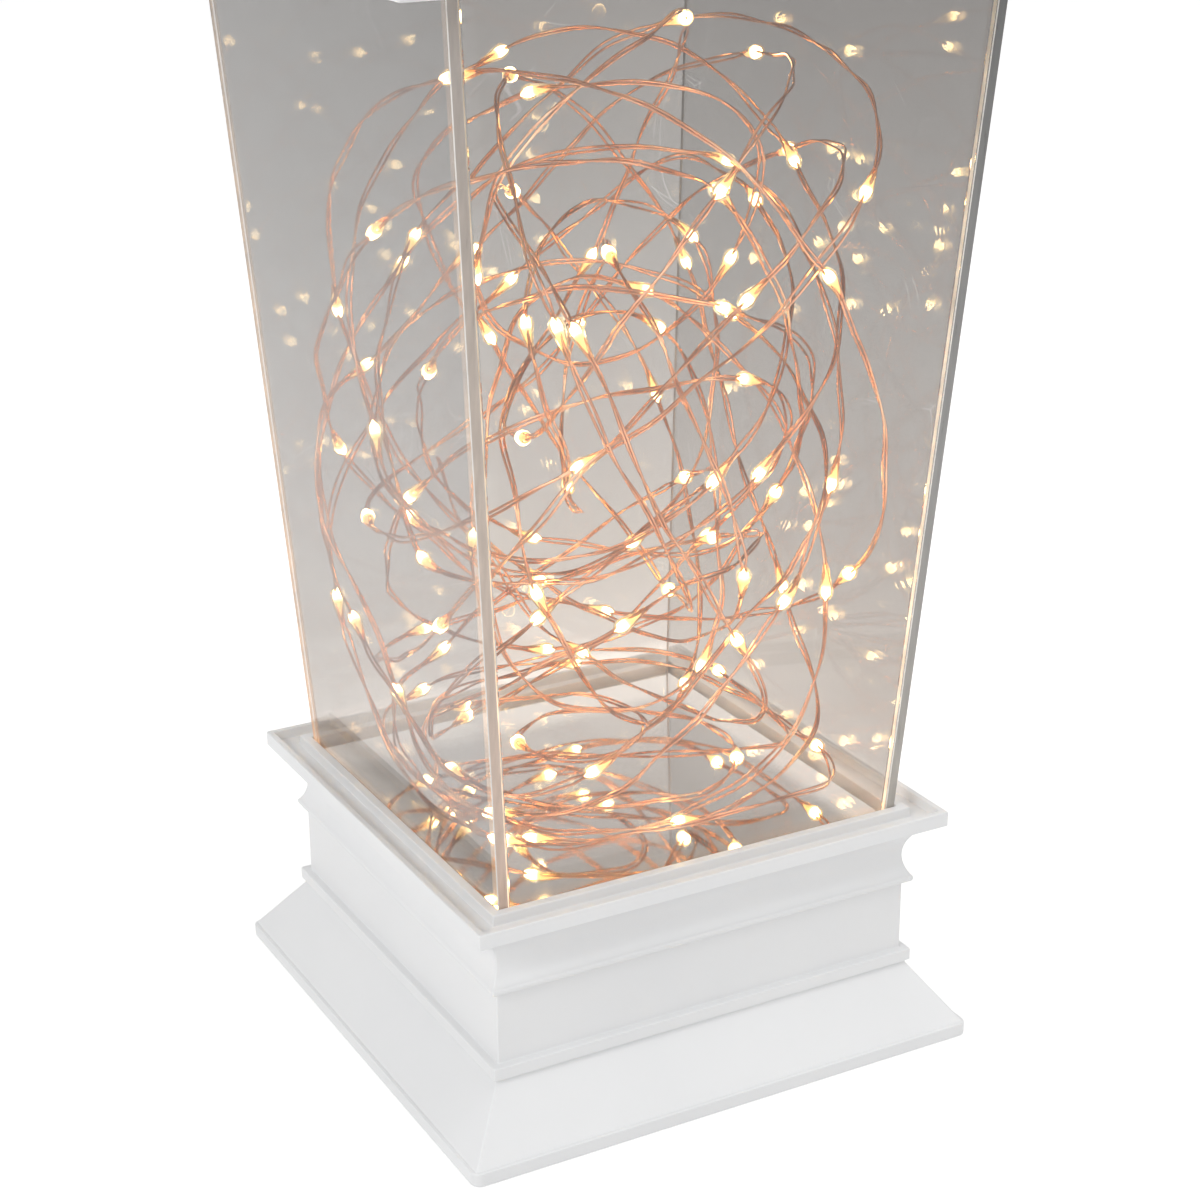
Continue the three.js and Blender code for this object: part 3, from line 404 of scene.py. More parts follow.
def sheet_rise(look):
    """0 at the foot of the clear body and 1 at its top."""
    return look.span(look.coordinate("Z"), 0.0, 1.0, RIM_TOP * MM, BRIM_FOOT * MM)


def with_painted_shade(stops, painted_shade):
    """Colours at positions, darkened to a share as painted shade."""
    return [(position, tuple(painted_shade * part for part in colour)) for position, colour in stops]


def clear_acrylic(side, painted_shade):
    """Clear sheet with painted shade, darker towards its top, and a painted light pale band at its foot; its
    colour is what it lets through.
    """
    look = Shading(f"clear_sheet_{side}", roughness=0.015, ior=1.49, transmission_weight=1.0)
    rise = sheet_rise(look)
    # Painted light: a pale warm foot, so that the lip seen through it looks lit
    painted_light_foot = (1.0, 0.91, 0.83)
    foot, through = 0.0, (0.97, 0.965, 0.96)
    stops = (0.01, (0.93, 0.91, 0.89)), (0.5, (0.91, 0.90, 0.89)), (1.0, (0.88, 0.87, 0.86))
    # Painted shade: the right and back sheets much darker, most of all towards their tops
    if side in PAINTED_SHADE_PANELS:
        foot, through = 0.02, (0.92, 0.91, 0.90)
        stops = (
            (0.04, (0.67, 0.61, 0.56)),
            (0.15, (0.56, 0.51, 0.465)),
            (0.3, (0.50, 0.462, 0.43)),
            (0.6, (0.405, 0.387, 0.367)),
            (1.0, (0.268, 0.254, 0.242)),
        )
    painted_shade_tint = look.ramp(rise, (foot, painted_light_foot), *with_painted_shade(stops, painted_shade))
    film = look.ramp(look.noise(12), (0.35, (0.95, 0.95, 0.95)), (0.65, (1.0, 1.0, 1.0)))
    filmed = look.blend(look.span(look.noise(30), 0.5, 1.0), painted_shade_tint, film, "MULTIPLY")
    bright = look.ramp(look.noise(200), (0.3, (0.93, 0.92, 0.91)), (0.7, (1.0, 1.0, 1.0)))
    scratches = look.hairlines(26, 0.005)
    scratched = look.blend(look.span(scratches, 0.0, 0.4), filmed, bright)
    look.colour(look.blend(look.specks(55, 0.016), scratched, bright))
    # Painted light on the left sheet's two ends
    if side == "left":
        lit_ends(look, rise)
    look.roughness(scratches, 0.012, 0.08)
    look.bump(look.noise(7, 1.0), 0.0004, 0.08)
    look.lets_lamps_through(through)
    return look.material


def light_streaks(look, rise):
    """Uneven painted light of the droplets at a sheet's end, weaker towards its top."""
    uneven = look.span(look.noise(70, stretch=(0.0, 0.0, 1.0)), 0.35, 1.0, 0.35, 0.65)
    return look.combine("MULTIPLY", uneven, look.span(rise, 1.0, 0.3))


def lit_ends(look, rise):
    """Painted light: near its two leaning ends a full-width sheet glows warm, as if it carried the droplets'
    light.
    """
    half = look.span(rise, BODY_BOTTOM_WIDTH / 2 * MM, BODY_TOP_WIDTH / 2 * MM)
    depth = look.combine("SUBTRACT", half, look.combine("ABSOLUTE", look.coordinate("Y")))
    end = look.span(depth, 1.0, 0.0, 0.8 * LIT_END * MM, LIT_END * MM)
    lit = look.combine("MULTIPLY", end, light_streaks(look, rise))
    look.light((1.0, 0.58, 0.27, 1), look.span(lit, 0.0, END_GLOW))


def cut_edge(side, painted_shade):
    """Sawn edge of a sheet, with painted shade: darker towards its top, by a share for each side."""
    look = Shading(f"cut_edge_{side}", roughness=0.3, ior=1.49)
    rise = sheet_rise(look)
    stops = (0.0, (0.67, 0.51, 0.42)), (0.45, (0.60, 0.51, 0.44)), (1.0, (0.40, 0.36, 0.33))
    # Painted shade: the right sheet's edge much darker towards its top
    if side == "right":
        stops = (0.0, (0.62, 0.58, 0.53)), (0.45, (0.44, 0.43, 0.42)), (1.0, (0.19, 0.19, 0.188))
    painted_shade_tint = look.ramp(rise, *with_painted_shade(stops, painted_shade))
    saw = look.noise(700, stretch=(1.0, 1.0, 0.12))
    marks = look.ramp(saw, (0.3, (0.78, 0.78, 0.78)), (0.7, (1.0, 1.0, 1.0)))
    look.colour(look.blend(look.span(saw, 0.7, 1.0), painted_shade_tint, marks, "MULTIPLY"))
    look.roughness(saw, 0.2, 0.42)
    look.bump(saw, 0.00005, 0.4)
    # Painted light: the front sheet's sawn ends glow warm, as the droplets' light carried in the sheet
    if side == "front":
        look.light((1.0, 0.82, 0.58, 1), look.span(light_streaks(look, rise), 0.0, CUT_EDGE_GLOW))
    return look.material


# Painted highlight: a pale opaque chamfer that stands in for the bright lines of light along the side sheets'
# edges
def painted_highlight_chamfer():
    look = Shading("chamfer_painted_highlight", roughness=0.2, ior=1.49)
    look.mottle(look.noise(300), (0.70, 0.67, 0.64), (0.80, 0.77, 0.74))
    look.roughness(look.noise(500), 0.15, 0.3)
    return look.material


def mirror_sheet():
    look = Shading("mirror_sheet", metallic=1.0, roughness=0.03)
    look.mottle(look.noise(18), (0.86, 0.87, 0.875), (0.91, 0.915, 0.92))
    look.roughness(look.noise(35, 4.0, (1.0, 0.3, 1.0)), 0.015, 0.075)
    look.bump(look.noise(14), 0.0001, 0.1)
    return look.material


def copper():
    look = Shading("copper_wire", metallic=1.0, roughness=0.24)
    # Partly real tarnish and partly painted reflection: the wide swing from dark to pale copper stands in for
    # the highlights and dark sides of reflections
    tarnish_and_reflection = look.noise(55, 4.0)
    dark, middle, bright = (0.42, 0.17, 0.085), (0.86, 0.46, 0.28), (1.0, 0.70, 0.47)
    look.colour(look.ramp(tarnish_and_reflection, (0.3, dark), (0.55, middle), (0.75, bright)))
    look.roughness(look.noise(400), 0.05, 0.15)
    look.bump(look.noise(2200, 2.0), 0.00003, 0.3)
    return look.material


def glow(look, low, high, *stops):
    """Light that grows with the mesh's own glow value."""
    value = look.node("ShaderNodeAttribute", {"attribute_name": "glow"}).outputs["Fac"]
    look.light(look.ramp(value, *stops), look.span(value, low, high))


def droplet_resin():
    look = Shading("droplet_resin", roughness=0.05, ior=1.5, transmission_weight=1.0)
    # Painted light: the resin glows by itself, as the diode's light spread in it
    glow(look, 0.03, 0.16, (0.0, (1.0, 0.55, 0.2)), (1.0, (1.0, 0.85, 0.55)))
    look.mottle(look.noise(300), (1.0, 0.80, 0.50), (1.0, 0.88, 0.64))
    look.bump(look.noise(500, 1.0), 0.0001, 0.2)
    look.lets_lamps_through((1.0, 0.9, 0.75))
    return look.material


def diode():
    look = Shading("diode_glow", roughness=0.4)
    tail, middle, head = (1.0, 0.70, 0.30), (1.0, 0.80, 0.46), (1.0, 0.86, 0.60)
    glow(look, 0.7, DIODE_GLOW, (0.0, tail), (0.1, middle), (1.0, head))
    look.mottle(look.noise(900), (0.95, 0.75, 0.35), (1.0, 0.85, 0.5))
    return look.material


def nickel():
    look = Shading("nickel_plate", metallic=1.0, roughness=0.28)
    brushed = look.noise(800, stretch=(1.0, 1.0, 0.1))
    look.mottle(brushed, (0.58, 0.57, 0.55), (0.72, 0.71, 0.69))
    look.roughness(brushed, 0.2, 0.38)
    look.bump(brushed, 0.00002, 0.3)
    return look.material


def powder_coat():
    look = Shading("white_powder_coat", roughness=0.42)
    look.mottle(look.noise(30), (0.78, 0.785, 0.79), (0.825, 0.828, 0.83))
    peel = look.noise(1300, 2.0)
    look.roughness(peel, 0.36, 0.5)
    look.bump(peel, 0.00005, 0.5)
    return look.material


def black_plastic():
    look = Shading("black_moulding", roughness=0.5)
    look.mottle(look.noise(50), (0.018, 0.018, 0.019), (0.032, 0.032, 0.034))
    grain = look.noise(1400)
    look.roughness(grain, 0.42, 0.6)
    look.bump(grain, 0.00004, 0.5)
    return look.material


def cell_jacket():
    look = Shading("cell_jacket", metallic=0.6, roughness=0.3)
    look.mottle(look.noise(25), (0.055, 0.07, 0.09), (0.09, 0.105, 0.13))
    look.roughness(look.noise(300), 0.22, 0.36)
    return look.material


def board_laminate():
    look = Shading("board_laminate", roughness=0.4)
    weave = look.noise(1800, 2.0)
    look.mottle(weave, (0.02, 0.10, 0.04), (0.035, 0.15, 0.06))
    look.roughness(weave, 0.3, 0.5)
    return look.material


def insulation(name, dark, light):
    look = Shading(name, roughness=0.45)
    look.mottle(look.noise(200), dark, light)
    look.roughness(look.noise(700), 0.38, 0.52)
    return look.material


WHITE = white_plastic()
CLEAR = {side: clear_acrylic(side, painted_shade) for side, painted_shade in PANEL_PAINTED_SHADES.items()}
CUT_EDGE = {side: cut_edge(side, painted_shade) for side, painted_shade in EDGE_PAINTED_SHADES.items()}
HIGHLIGHT_CHAMFER = painted_highlight_chamfer()
MIRRORED = mirror_sheet()
COPPER = copper()
RESIN = droplet_resin()
DIODE = diode()
NICKEL = nickel()
POWDER_COAT = powder_coat()
BLACK = black_plastic()
JACKET = cell_jacket()
LAMINATE = board_laminate()
RED_INSULATION = insulation("red_insulation", (0.36, 0.02, 0.015), (0.5, 0.04, 0.03))
BLACK_INSULATION = insulation("black_insulation", (0.014, 0.014, 0.015), (0.026, 0.026, 0.028))


# Meshes

def new_object(name, data):
    made = bpy.data.objects.new(name, data)
    bpy.context.scene.collection.objects.link(made)
    return made


def mesh_piece(name, vertices, faces, materials, sharp=35):
    """A new object from millimetre vertices, smooth apart from edges sharper than an angle."""
    mesh = bpy.data.meshes.new(name)
    mesh.from_pydata((np.asarray(vertices, float) * MM).tolist(), [], faces)
    mesh.validate()
    for material in materials:
        mesh.materials.append(material)
    mesh.shade_smooth()
    mesh.set_sharp_from_angle(angle=math.radians(sharp))
    return new_object(name, mesh)


def stand_for(piece, slot, *nodes, body="lantern"):
    """The piece rides on a body and hides the solids that it stands for; its slot is not used."""
    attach(piece, body)
    if nodes:
        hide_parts(*nodes)


def arc(start, end, sag, steps, shift=0.0):
    """Points of an arc that swells by sag to the left on its way, moved out by shift."""
    start, end = np.array(start, float), np.array(end, float)
    chord = np.linalg.norm(end - start)
    along = (end - start) / chord
    left = np.array([-along[1], along[0]])
    radius = (chord * chord / 4 + sag * sag) / (2 * sag)
    half_angle = math.asin(chord / (2 * radius))
    angles = half_angle * np.linspace(-1, 1, steps + 1)
    forward = chord / 2 + (radius + shift) * np.sin(angles)
    aside = (radius + shift) * np.cos(angles) - radius + sag
    return [tuple(start + along * f + left * a) for f, a in zip(forward, aside)]


def rounded(section, radius, steps=4):
    """A section with its corners rounded; short sides limit the radius."""
    points = [np.array(point[:2], float) for point in section]
    made = [tuple(points[0])]
    for before, corner, after in zip(points, points[1:], points[2:]):
        back, ahead = before - corner, after - corner
        back_length, ahead_length = np.linalg.norm(back), np.linalg.norm(ahead)
        back, ahead = back / back_length, ahead / ahead_length
        opening = math.acos(max(-1.0, min(1.0, float(back @ ahead))))
        if opening > math.radians(BLUNT_ANGLE):
            made.append(tuple(corner))
            continue
        cut = min(radius / math.tan(opening / 2), 0.45 * back_length, 0.45 * ahead_length)
        fillet = cut * math.tan(opening / 2)
        bisector = (back + ahead) / np.linalg.norm(back + ahead)
        centre = corner + bisector * math.hypot(cut, fillet)
        first, last = corner + back * cut - centre, corner + ahead * cut - centre
        sweep = math.pi - opening
        for share in np.linspace(0, 1, steps + 1):
            back_weight, ahead_weight = np.sin(np.array([1 - share, share]) * sweep) / math.sin(sweep)
            made.append(tuple(centre + first * back_weight + last * ahead_weight))
    made.append(tuple(points[-1]))
    return made


def square_ring(half, z, corner, steps):
    """A square with rounded corners at a height, as points."""
    radius = min(corner, half * 0.9)
    middle = half - radius
    points = []
    for quarter, (across, along) in enumerate(((1, 1), (-1, 1), (-1, -1), (1, -1))):
        for step in range(steps + 1):
            angle = (quarter + step / steps) * math.pi / 2
            x = middle * across + radius * math.cos(angle)
            y = middle * along + radius * math.sin(angle)
            points.append((x, y, z))
    return points


def ring_faces(rings, count):
    """Faces between rings of points that follow each other, with a flat at each end."""
    faces = []
    for start in range(0, (rings - 1) * count, count):
        for k in range(count):
            here, beside = start + k, start + (k + 1) % count
            faces.append((here, beside, beside + count, here + count))
    faces.append(tuple(reversed(range(count))))
    faces.append(tuple(range((rings - 1) * count, rings * count)))
    return faces


def moulding(name, node, section, edge, corner_at, corner_steps=4):
    """A white four-sided moulding from a section, with rounded edges and even flats."""
    section = rounded(section, edge)
    vertices = []
    for half, z in section:
        vertices += square_ring(half, z, corner_at(half, z), corner_steps)
    faces = ring_faces(len(section), 4 * (corner_steps + 1))
    piece = mesh_piece(name, vertices, faces, [WHITE])
    flats = piece.modifiers.new("even_shading", "WEIGHTED_NORMAL")
    flats.keep_sharp = True
    flats.weight = 100
    stand_for(piece, "white_moulding", node)


def lathe(section, sides):
    """Vertices and faces of a round form from radii and heights that start and end on the axis."""
    vertices = [(0, 0, section[0][1])]
    faces = []
    for radius, z in section[1:-1]:
        for k in range(sides):
            angle = 2 * math.pi * k / sides
            vertices.append((radius * math.cos(angle), radius * math.sin(angle), z))
    vertices.append((0, 0, section[-1][1]))
    rings = len(section) - 2
    for k in range(sides):
        after = (k + 1) % sides
        faces.append((0, 1 + after, 1 + k))
        last = 1 + (rings - 1) * sides
        faces.append((last + k, last + after, len(vertices) - 1))
        for ring in range(rings - 1):
            foot = 1 + ring * sides
            faces.append((foot + k, foot + after, foot + sides + after, foot + sides + k))
    return np.array(vertices, float), faces


def torus(radius, wire, around, sides):
    """Vertices and faces of a ring in the XY plane."""
    vertices = []
    faces = []
    for i in range(around):
        turn = 2 * math.pi * i / around
        for k in range(sides):
            angle = 2 * math.pi * k / sides
            reach = radius + wire / 2 * math.cos(angle)
            vertices.append((reach * math.cos(turn), reach * math.sin(turn), wire / 2 * math.sin(angle)))
            here, onward, beside = i * sides, (i + 1) % around * sides, (k + 1) % sides
            faces.append((here + k, onward + k, onward + beside, here + beside))
    return np.array(vertices, float), faces


def merged(*parts):
    """Several sets of vertices and faces as one."""
    vertices = []
    faces = []
    for part_vertices, part_faces in parts:
        start = sum(len(v) for v in vertices)
        vertices.append(np.asarray(part_vertices, float))
        faces += [tuple(i + start for i in face) for face in part_faces]
    return np.concatenate(vertices), faces


# Plinth

def plinth():
    foot_half = PLATE_WIDTH / 2 - COVER_LIP_WIDTH
    run = SKIRT_FLARE / SKIRT_HEIGHT
    skirt_across = WALL * math.hypot(1, run)
    inside_at_cover = SKIRT_FOOT_WIDTH / 2 - (COVER_TOP + FIT - PLATE_HEIGHT) * run - skirt_across
    cavity_half = FRIEZE_WIDTH / 2 - WALL
    inside_knee = COVER_TOP + FIT + (inside_at_cover - cavity_half) / run
    lip_inner = BODY_BOTTOM_WIDTH / 2 + FIT
    lip_outer = lip_inner + INNER_LIP_WIDTH
    groove_foot = RIM_TOP - RIM_GROOVE_DEPTH
    nose = BEAD_WIDTH / 2 - BEAD_NOSE
    cove_low = (BEAD_WIDTH / 2 - COVE_SETBACK, COVE_FOOT)
    cove_high = (RIM_WIDTH / 2 - COVE_SETBACK, RIM_FOOT)
    section = [
        (cavity_half - CORNER, DECK_FOOT),
        (cavity_half, DECK_FOOT),
        (cavity_half, inside_knee),
        (inside_at_cover, COVER_TOP + FIT),
        (foot_half, COVER_TOP + FIT),
        (foot_half, 0),
        (PLATE_WIDTH / 2, 0),
        (PLATE_WIDTH / 2, PLATE_HEIGHT),
        (SKIRT_FOOT_WIDTH / 2, PLATE_HEIGHT),
        (SKIRT_TOP_WIDTH / 2, SKIRT_TOP),
        (SKIRT_TOP_WIDTH / 2, LISTEL_FOOT),
        (BEAD_WIDTH / 2, LISTEL_FOOT),
        (BEAD_WIDTH / 2, FRIEZE_FOOT),
        (FRIEZE_WIDTH / 2, FRIEZE_FOOT),
        (FRIEZE_WIDTH / 2, FRIEZE_TOP),
        *arc((nose, FRIEZE_TOP), (nose, COVE_FOOT), -BEAD_NOSE, 10)[:-1],
        *arc(cove_low, cove_high, COVE_SAG, 24),
        (RIM_WIDTH / 2, RIM_FOOT),
        (RIM_WIDTH / 2, RIM_TOP),
        (RIM_WIDTH / 2 - RIM_LIP_WIDTH, RIM_TOP),
        (RIM_WIDTH / 2 - RIM_LIP_WIDTH, groove_foot),
        (lip_outer + INNER_LIP_DRAFT, groove_foot),
        (lip_outer, RIM_TOP),
        (lip_inner, RIM_TOP),
        (lip_inner, DECK_TOP),
        (lip_inner - CORNER, DECK_TOP),
    ]

    def corner_at(half, z):
        return PLATE_CORNER if half > SKIRT_FOOT_WIDTH / 2 and z <= PLATE_HEIGHT else CORNER

    moulding("plinth_moulding", "base_plinth", section, EDGE, corner_at, 5)


# Clear body

def panel(side, quarter, side_inset):
    """One leaning sheet with chamfered edges, made at the front and turned to its side."""
    height = (PANEL_TOP - PANEL_FOOT) / math.cos(LEAN)
    outward = np.array([0, -math.cos(LEAN), -math.sin(LEAN)])
    upward = np.array([0, -math.sin(LEAN), math.cos(LEAN)])
    inner_foot = np.array([0, -body_half(PANEL_FOOT), PANEL_FOOT]) - SHEET * outward
    vertices = []
    for depth in (0, SHEET):
        for level, z in ((0, PANEL_FOOT), (height, PANEL_TOP)):
            half = body_half(z) - side_inset
            for x in (-half, half):
                vertices.append(inner_foot + outward * depth + upward * level + np.array([x, 0, 0]))
    turn = np.array(Matrix.Rotation(quarter * math.pi / 2, 3, "Z"))
    vertices = np.array(vertices) @ turn.T
    faces = [(0, 1, 3, 2), (4, 6, 7, 5), (0, 4, 5, 1), (2, 3, 7, 6), (0, 2, 6, 4), (1, 5, 7, 3)]
    materials = [CLEAR[side], CUT_EDGE[side], HIGHLIGHT_CHAMFER]
    piece = mesh_piece(f"clear_panel_{side}", vertices, faces, materials, sharp=1)
    sheet = bmesh.new()
    sheet.from_mesh(piece.data)
    bmesh.ops.bevel(sheet, geom=sheet.edges[:], offset=SHEET_CHAMFER * MM, segments=1, affect="EDGES")
    bmesh.ops.recalc_face_normals(sheet, faces=sheet.faces[:])
    large = (0.5 * BODY_BOTTOM_WIDTH * MM) ** 2
    narrow = 2 * SHEET_CHAMFER * height * MM * MM
    # The side sheets' chamfers take the painted highlight; the front and back ones stay clear
    chamfer = 0 if side in ("front", "back") else 2
    for face in sheet.faces:
        area = face.calc_area()
        face.material_index = 0 if area > large else (chamfer if area < narrow else 1)
        face.smooth = False
    sheet.to_mesh(piece.data)
    sheet.free()
    stand_for(piece, "clear_sheet", f"panel_{side}")


def panels():
    for quarter, side in enumerate(PANEL_PAINTED_SHADES):
        panel(side, quarter, SHEET_ACROSS + FIT if quarter % 2 == 0 else 0)


# Light string

def wander(turn, rate, start):
    """A slow, uneven swing between -1 and 1."""
    return 0.6 * np.sin(rate * turn + start) + 0.4 * np.sin(1.7 * rate * turn + 2.3 * start + 1)


def held(value, limit):
    """A value held inside a limit, with a soft approach to it."""
    return value / (1 + np.abs(value / limit) ** 8) ** (1 / 8)


def nest_room(z):
    return body_half(z) - SHEET_ACROSS - NEST_WALL_GAP


def nest_points(turn):
    """The wire's places after numbers of loops: a flat coil that opens into loose tilted loops."""
    share = np.clip((turn - COIL_LOOPS[0]) / (COIL_LOOPS[1] - COIL_LOOPS[0]), 0, 1)
    opened = share * share * (3 - 2 * share)
    angle = 2 * math.pi * turn
    tilt = COIL_TILT + opened * (LOOP_TILT + LOOP_TILT_SWING * wander(turn, 0.83, 1.01))
    heading = LOOP_TURN * turn + LOOP_TURN_SWING * wander(turn, 0.47, 5.23)
    radius = COIL_RADIUS + LOOP_RADIUS_SWING * wander(turn, 1.31, 7.64) + LOOP_RADIUS_GAIN * opened
    stretch = 1 + opened * (LOOP_STRETCH + LOOP_STRETCH_SWING * wander(turn, 0.71, 5.6))
    coil_level = COIL_FOOT + COIL_RISE * turn * (1 - opened)
    level = coil_level + opened * (LOOP_LEVEL + LOOP_LEVEL_SWING * wander(turn, 0.59, 3.76))
    across = radius * np.cos(angle) + opened * BEND_ACROSS * wander(turn, 9.1, 6.55)
    along = radius * stretch * np.sin(angle)
    out = opened * (BEND_OUT * wander(turn, 6.7, 3.69) + KINK_OUT * wander(turn, 17, 1.5))
    forward = along * np.cos(tilt) - out * np.sin(tilt)
    x = LOOP_DRIFT * wander(turn, 1.07, 2.02) + across * np.cos(heading) - forward * np.sin(heading)
    y = LOOP_DRIFT * wander(turn, 0.93, 9.05) + across * np.sin(heading) + forward * np.cos(heading)
    rise = level + along * np.sin(tilt) + out * np.cos(tilt) - NEST_FLOOR_GAP
    z = MIRROR_TOP + NEST_FLOOR_GAP + NEST_HEIGHT / 2 + held(rise - NEST_HEIGHT / 2, NEST_HEIGHT / 2)
    return np.stack([held(x, nest_room(z)), held(y, nest_room(z)), z], -1)


def lead_in():
    """From the board, up through the deck and the mirror, and round into the first loop."""
    first, second = nest_points(np.array([0, 1 / LOOP_STEPS]))
    onward = (second - first) / np.linalg.norm(second - first)
    floor = np.array([*WIRE_HOLE, MIRROR_TOP])
    rising = floor + np.array([0, 0, LEAD_IN_REACH / 2])
    arriving = first - onward * LEAD_IN_REACH
    share = (np.arange(LEAD_IN_STEPS) / LEAD_IN_STEPS)[:, None]
    rest = 1 - share
    curve = rest**3 * floor + 3 * rest**2 * share * rising + 3 * rest * share**2 * arriving + share**3 * first
    return np.concatenate([[[*WIRE_HOLE, BOARD_TOP + FIT]], curve])


def loop_points():
    """Bends along the loops, all about one step apart."""
    fine = nest_points(np.arange(STRING_LOOPS * LOOP_STEPS + 1) / LOOP_STEPS)
    points = [fine[0]]
    for point in fine:
        if math.dist(point, points[-1]) >= DROPLET_LENGTH + DROPLET_MARGIN:
            points.append(point)
    return np.array(points)


def droplet_stretches(points, first):
    """Which stretches carry a droplet: one about every pitch along the wire."""
    stretches = []
    length = 0.0
    steps = steps_along(points)
    for i in range(first, len(steps)):
        length += steps[i]
        if length > LED_PITCH * (len(stretches) + 0.5):
            stretches.append(i)
    return stretches


def in_room(points):
    """Points kept off the floor and the panels."""
    z = np.maximum(points[:, 2], MIRROR_TOP + NEST_FLOOR_GAP + DROPLET_DIAMETER / 2)
    room = nest_room(z)
    return np.stack([np.clip(points[:, 0], -room, room), np.clip(points[:, 1], -room, room), z], -1)


def settled(points, radii, still):
    """Strands that would touch are pushed apart; the first few points stay."""
    one, two = np.triu_indices(len(points) - 1, 4)
    need = radii[one] + radii[two] + STRING_GAP
    for _ in range(SETTLE_ROUNDS):
        u = points[one + 1] - points[one]
        v = points[two + 1] - points[two]
        w = points[one] - points[two]
        uu, uv, vv = (u * u).sum(1), (u * v).sum(1), (v * v).sum(1)
        uw, vw = (u * w).sum(1), (v * w).sum(1)
        s = np.clip((uv * vw - vv * uw) / np.maximum(uu * vv - uv * uv, 1e-9), 0, 1)
        t = np.clip((uv * s + vw) / vv, 0, 1)
        s = np.clip((uv * t - uw) / uu, 0, 1)
        between = w + u * s[:, None] - v * t[:, None]
        distance = np.linalg.norm(between, axis=1)
        close = np.flatnonzero(distance < need)
        if len(close) == 0:
            break
        push = between[close] / np.maximum(distance[close], 1e-6)[:, None]
        push *= ((need[close] - distance[close]) / 2 + SETTLE_MARGIN)[:, None]
        s, t = s[close][:, None], t[close][:, None]
        moves = np.zeros_like(points)
        np.add.at(moves, one[close], push * (1 - s))
        np.add.at(moves, one[close] + 1, push * s)
        np.add.at(moves, two[close], push * (t - 1))
        np.add.at(moves, two[close] + 1, -push * t)
        moved = in_room(points + moves)
        moved[:still] = points[:still]
        points = moved
    return points


def smooth_curve(points, steps):
    """A smooth line through points, with a number of steps between each two."""
    before = np.concatenate([[2 * points[0] - points[1]], points[:-2]])
    start, end = points[:-1], points[1:]
    after = np.concatenate([points[2:], [2 * points[-1] - points[-2]]])
    share = (np.arange(steps) / steps)[None, :, None]
    a, b, c, d = (p[:, None, :] for p in (before, start, end, after))
    cubic = 2 * b + (c - a) * share
    cubic = cubic + (2 * a - 5 * b + 4 * c - d) * share**2
    cubic = cubic + (3 * b - a - 3 * c + d) * share**3
    return np.concatenate([0.5 * cubic.reshape(-1, 3), points[-1:]])


def steps_along(line):
    """Lengths of the steps along a line."""
    return np.linalg.norm(np.diff(line, axis=0), axis=1)


def lengths_along(line):
    """Length from a line's start to each of its points."""
    return np.concatenate([[0], np.cumsum(steps_along(line))])


def frames(points):
    """Two steady directions across a line, at each of its points."""
    along = np.gradient(points, axis=0)
    along /= np.linalg.norm(along, axis=1)[:, None]
    across = np.zeros_like(points)
    guess = np.array([1.0, 0.0, 0.0])
    for i, direction in enumerate(along):
        guess = guess - direction * (guess @ direction)
        guess = guess / np.linalg.norm(guess)
        across[i] = guess
    return across, np.cross(along, across)


def tube(points, radii, sides):
    """Vertices and faces of a closed tube along points."""
    across, other = frames(points)
    angles = 2 * math.pi * np.arange(sides) / sides
    cosines, sines = np.cos(angles)[None, :, None], np.sin(angles)[None, :, None]
    ring = across[:, None, :] * cosines + other[:, None, :] * sines
    vertices = (points[:, None, :] + ring * np.asarray(radii)[:, None, None]).reshape(-1, 3)
    return vertices, ring_faces(len(points), sides)


def string_route():
    """The settled points of the wire and the stretches that carry droplets."""
    lead = lead_in()
    start = np.concatenate([lead, loop_points()])
    stretches = droplet_stretches(start, len(lead))
    radii = np.full(len(start), WIRE_DIAMETER / 2)
    radii[stretches] = DROPLET_DIAMETER / 2
    return settled(start, radii[:-1], len(lead)), stretches


def twin_strands(line, droplets):
    """Two thin strands that wind round a line and part a little between droplets."""
    across, other = frames(line)
    length = lengths_along(line)
    angle = 2 * math.pi * length / STRAND_TWIST + 2.2 * wander(length, 0.021, 0.4)
    drift = 0.5 + 0.5 * wander(length, 0.047, 2.1)
    parting = STRAND_PARTING + STRAND_SPREAD * drift**2
    for start, end in droplets:
        parting[start:end + 1] = STRAND_PARTING
    offset = (across * np.cos(angle)[:, None] + other * np.sin(angle)[:, None]) * parting[:, None]
    radii = np.full(len(line), STRAND_DIAMETER / 2)
    return merged(*[tube(line + side * offset, radii, STRAND_SIDES) for side in (-1, 1)])


def crimped(line):
    """A smooth line with the small bends of a wire that has been wound and unwound."""
    across, other = frames(line)
    length = lengths_along(line)
    rising = np.clip((length - LEAD_IN_REACH) / LEAD_IN_REACH, 0, 1) * STRAND_CRIMP
    bends = across * wander(length, 0.17, 0.8)[:, None] + other * wander(length, 0.13, 3.1)[:, None]
    return line + bends * rising[:, None]


def droplet_spans(line, stretches):
    """First and last points of each droplet along the smooth line."""
    spans = []
    for stretch in stretches:
        start = stretch * CURVE_STEPS
        reach = np.cumsum(steps_along(line[start:start + 4 * CURVE_STEPS]))
        spans.append((start, start + 1 + int(np.searchsorted(reach, DROPLET_LENGTH))))
    return spans


def along_stretch(line, span, share):
    """Places along a droplet's stretch of the line, from shares of its length."""
    stretch = line[span[0]:span[1] + 1]
    length = lengths_along(stretch)
    return np.stack([np.interp(share * DROPLET_LENGTH, length, stretch[:, k]) for k in range(3)], -1)


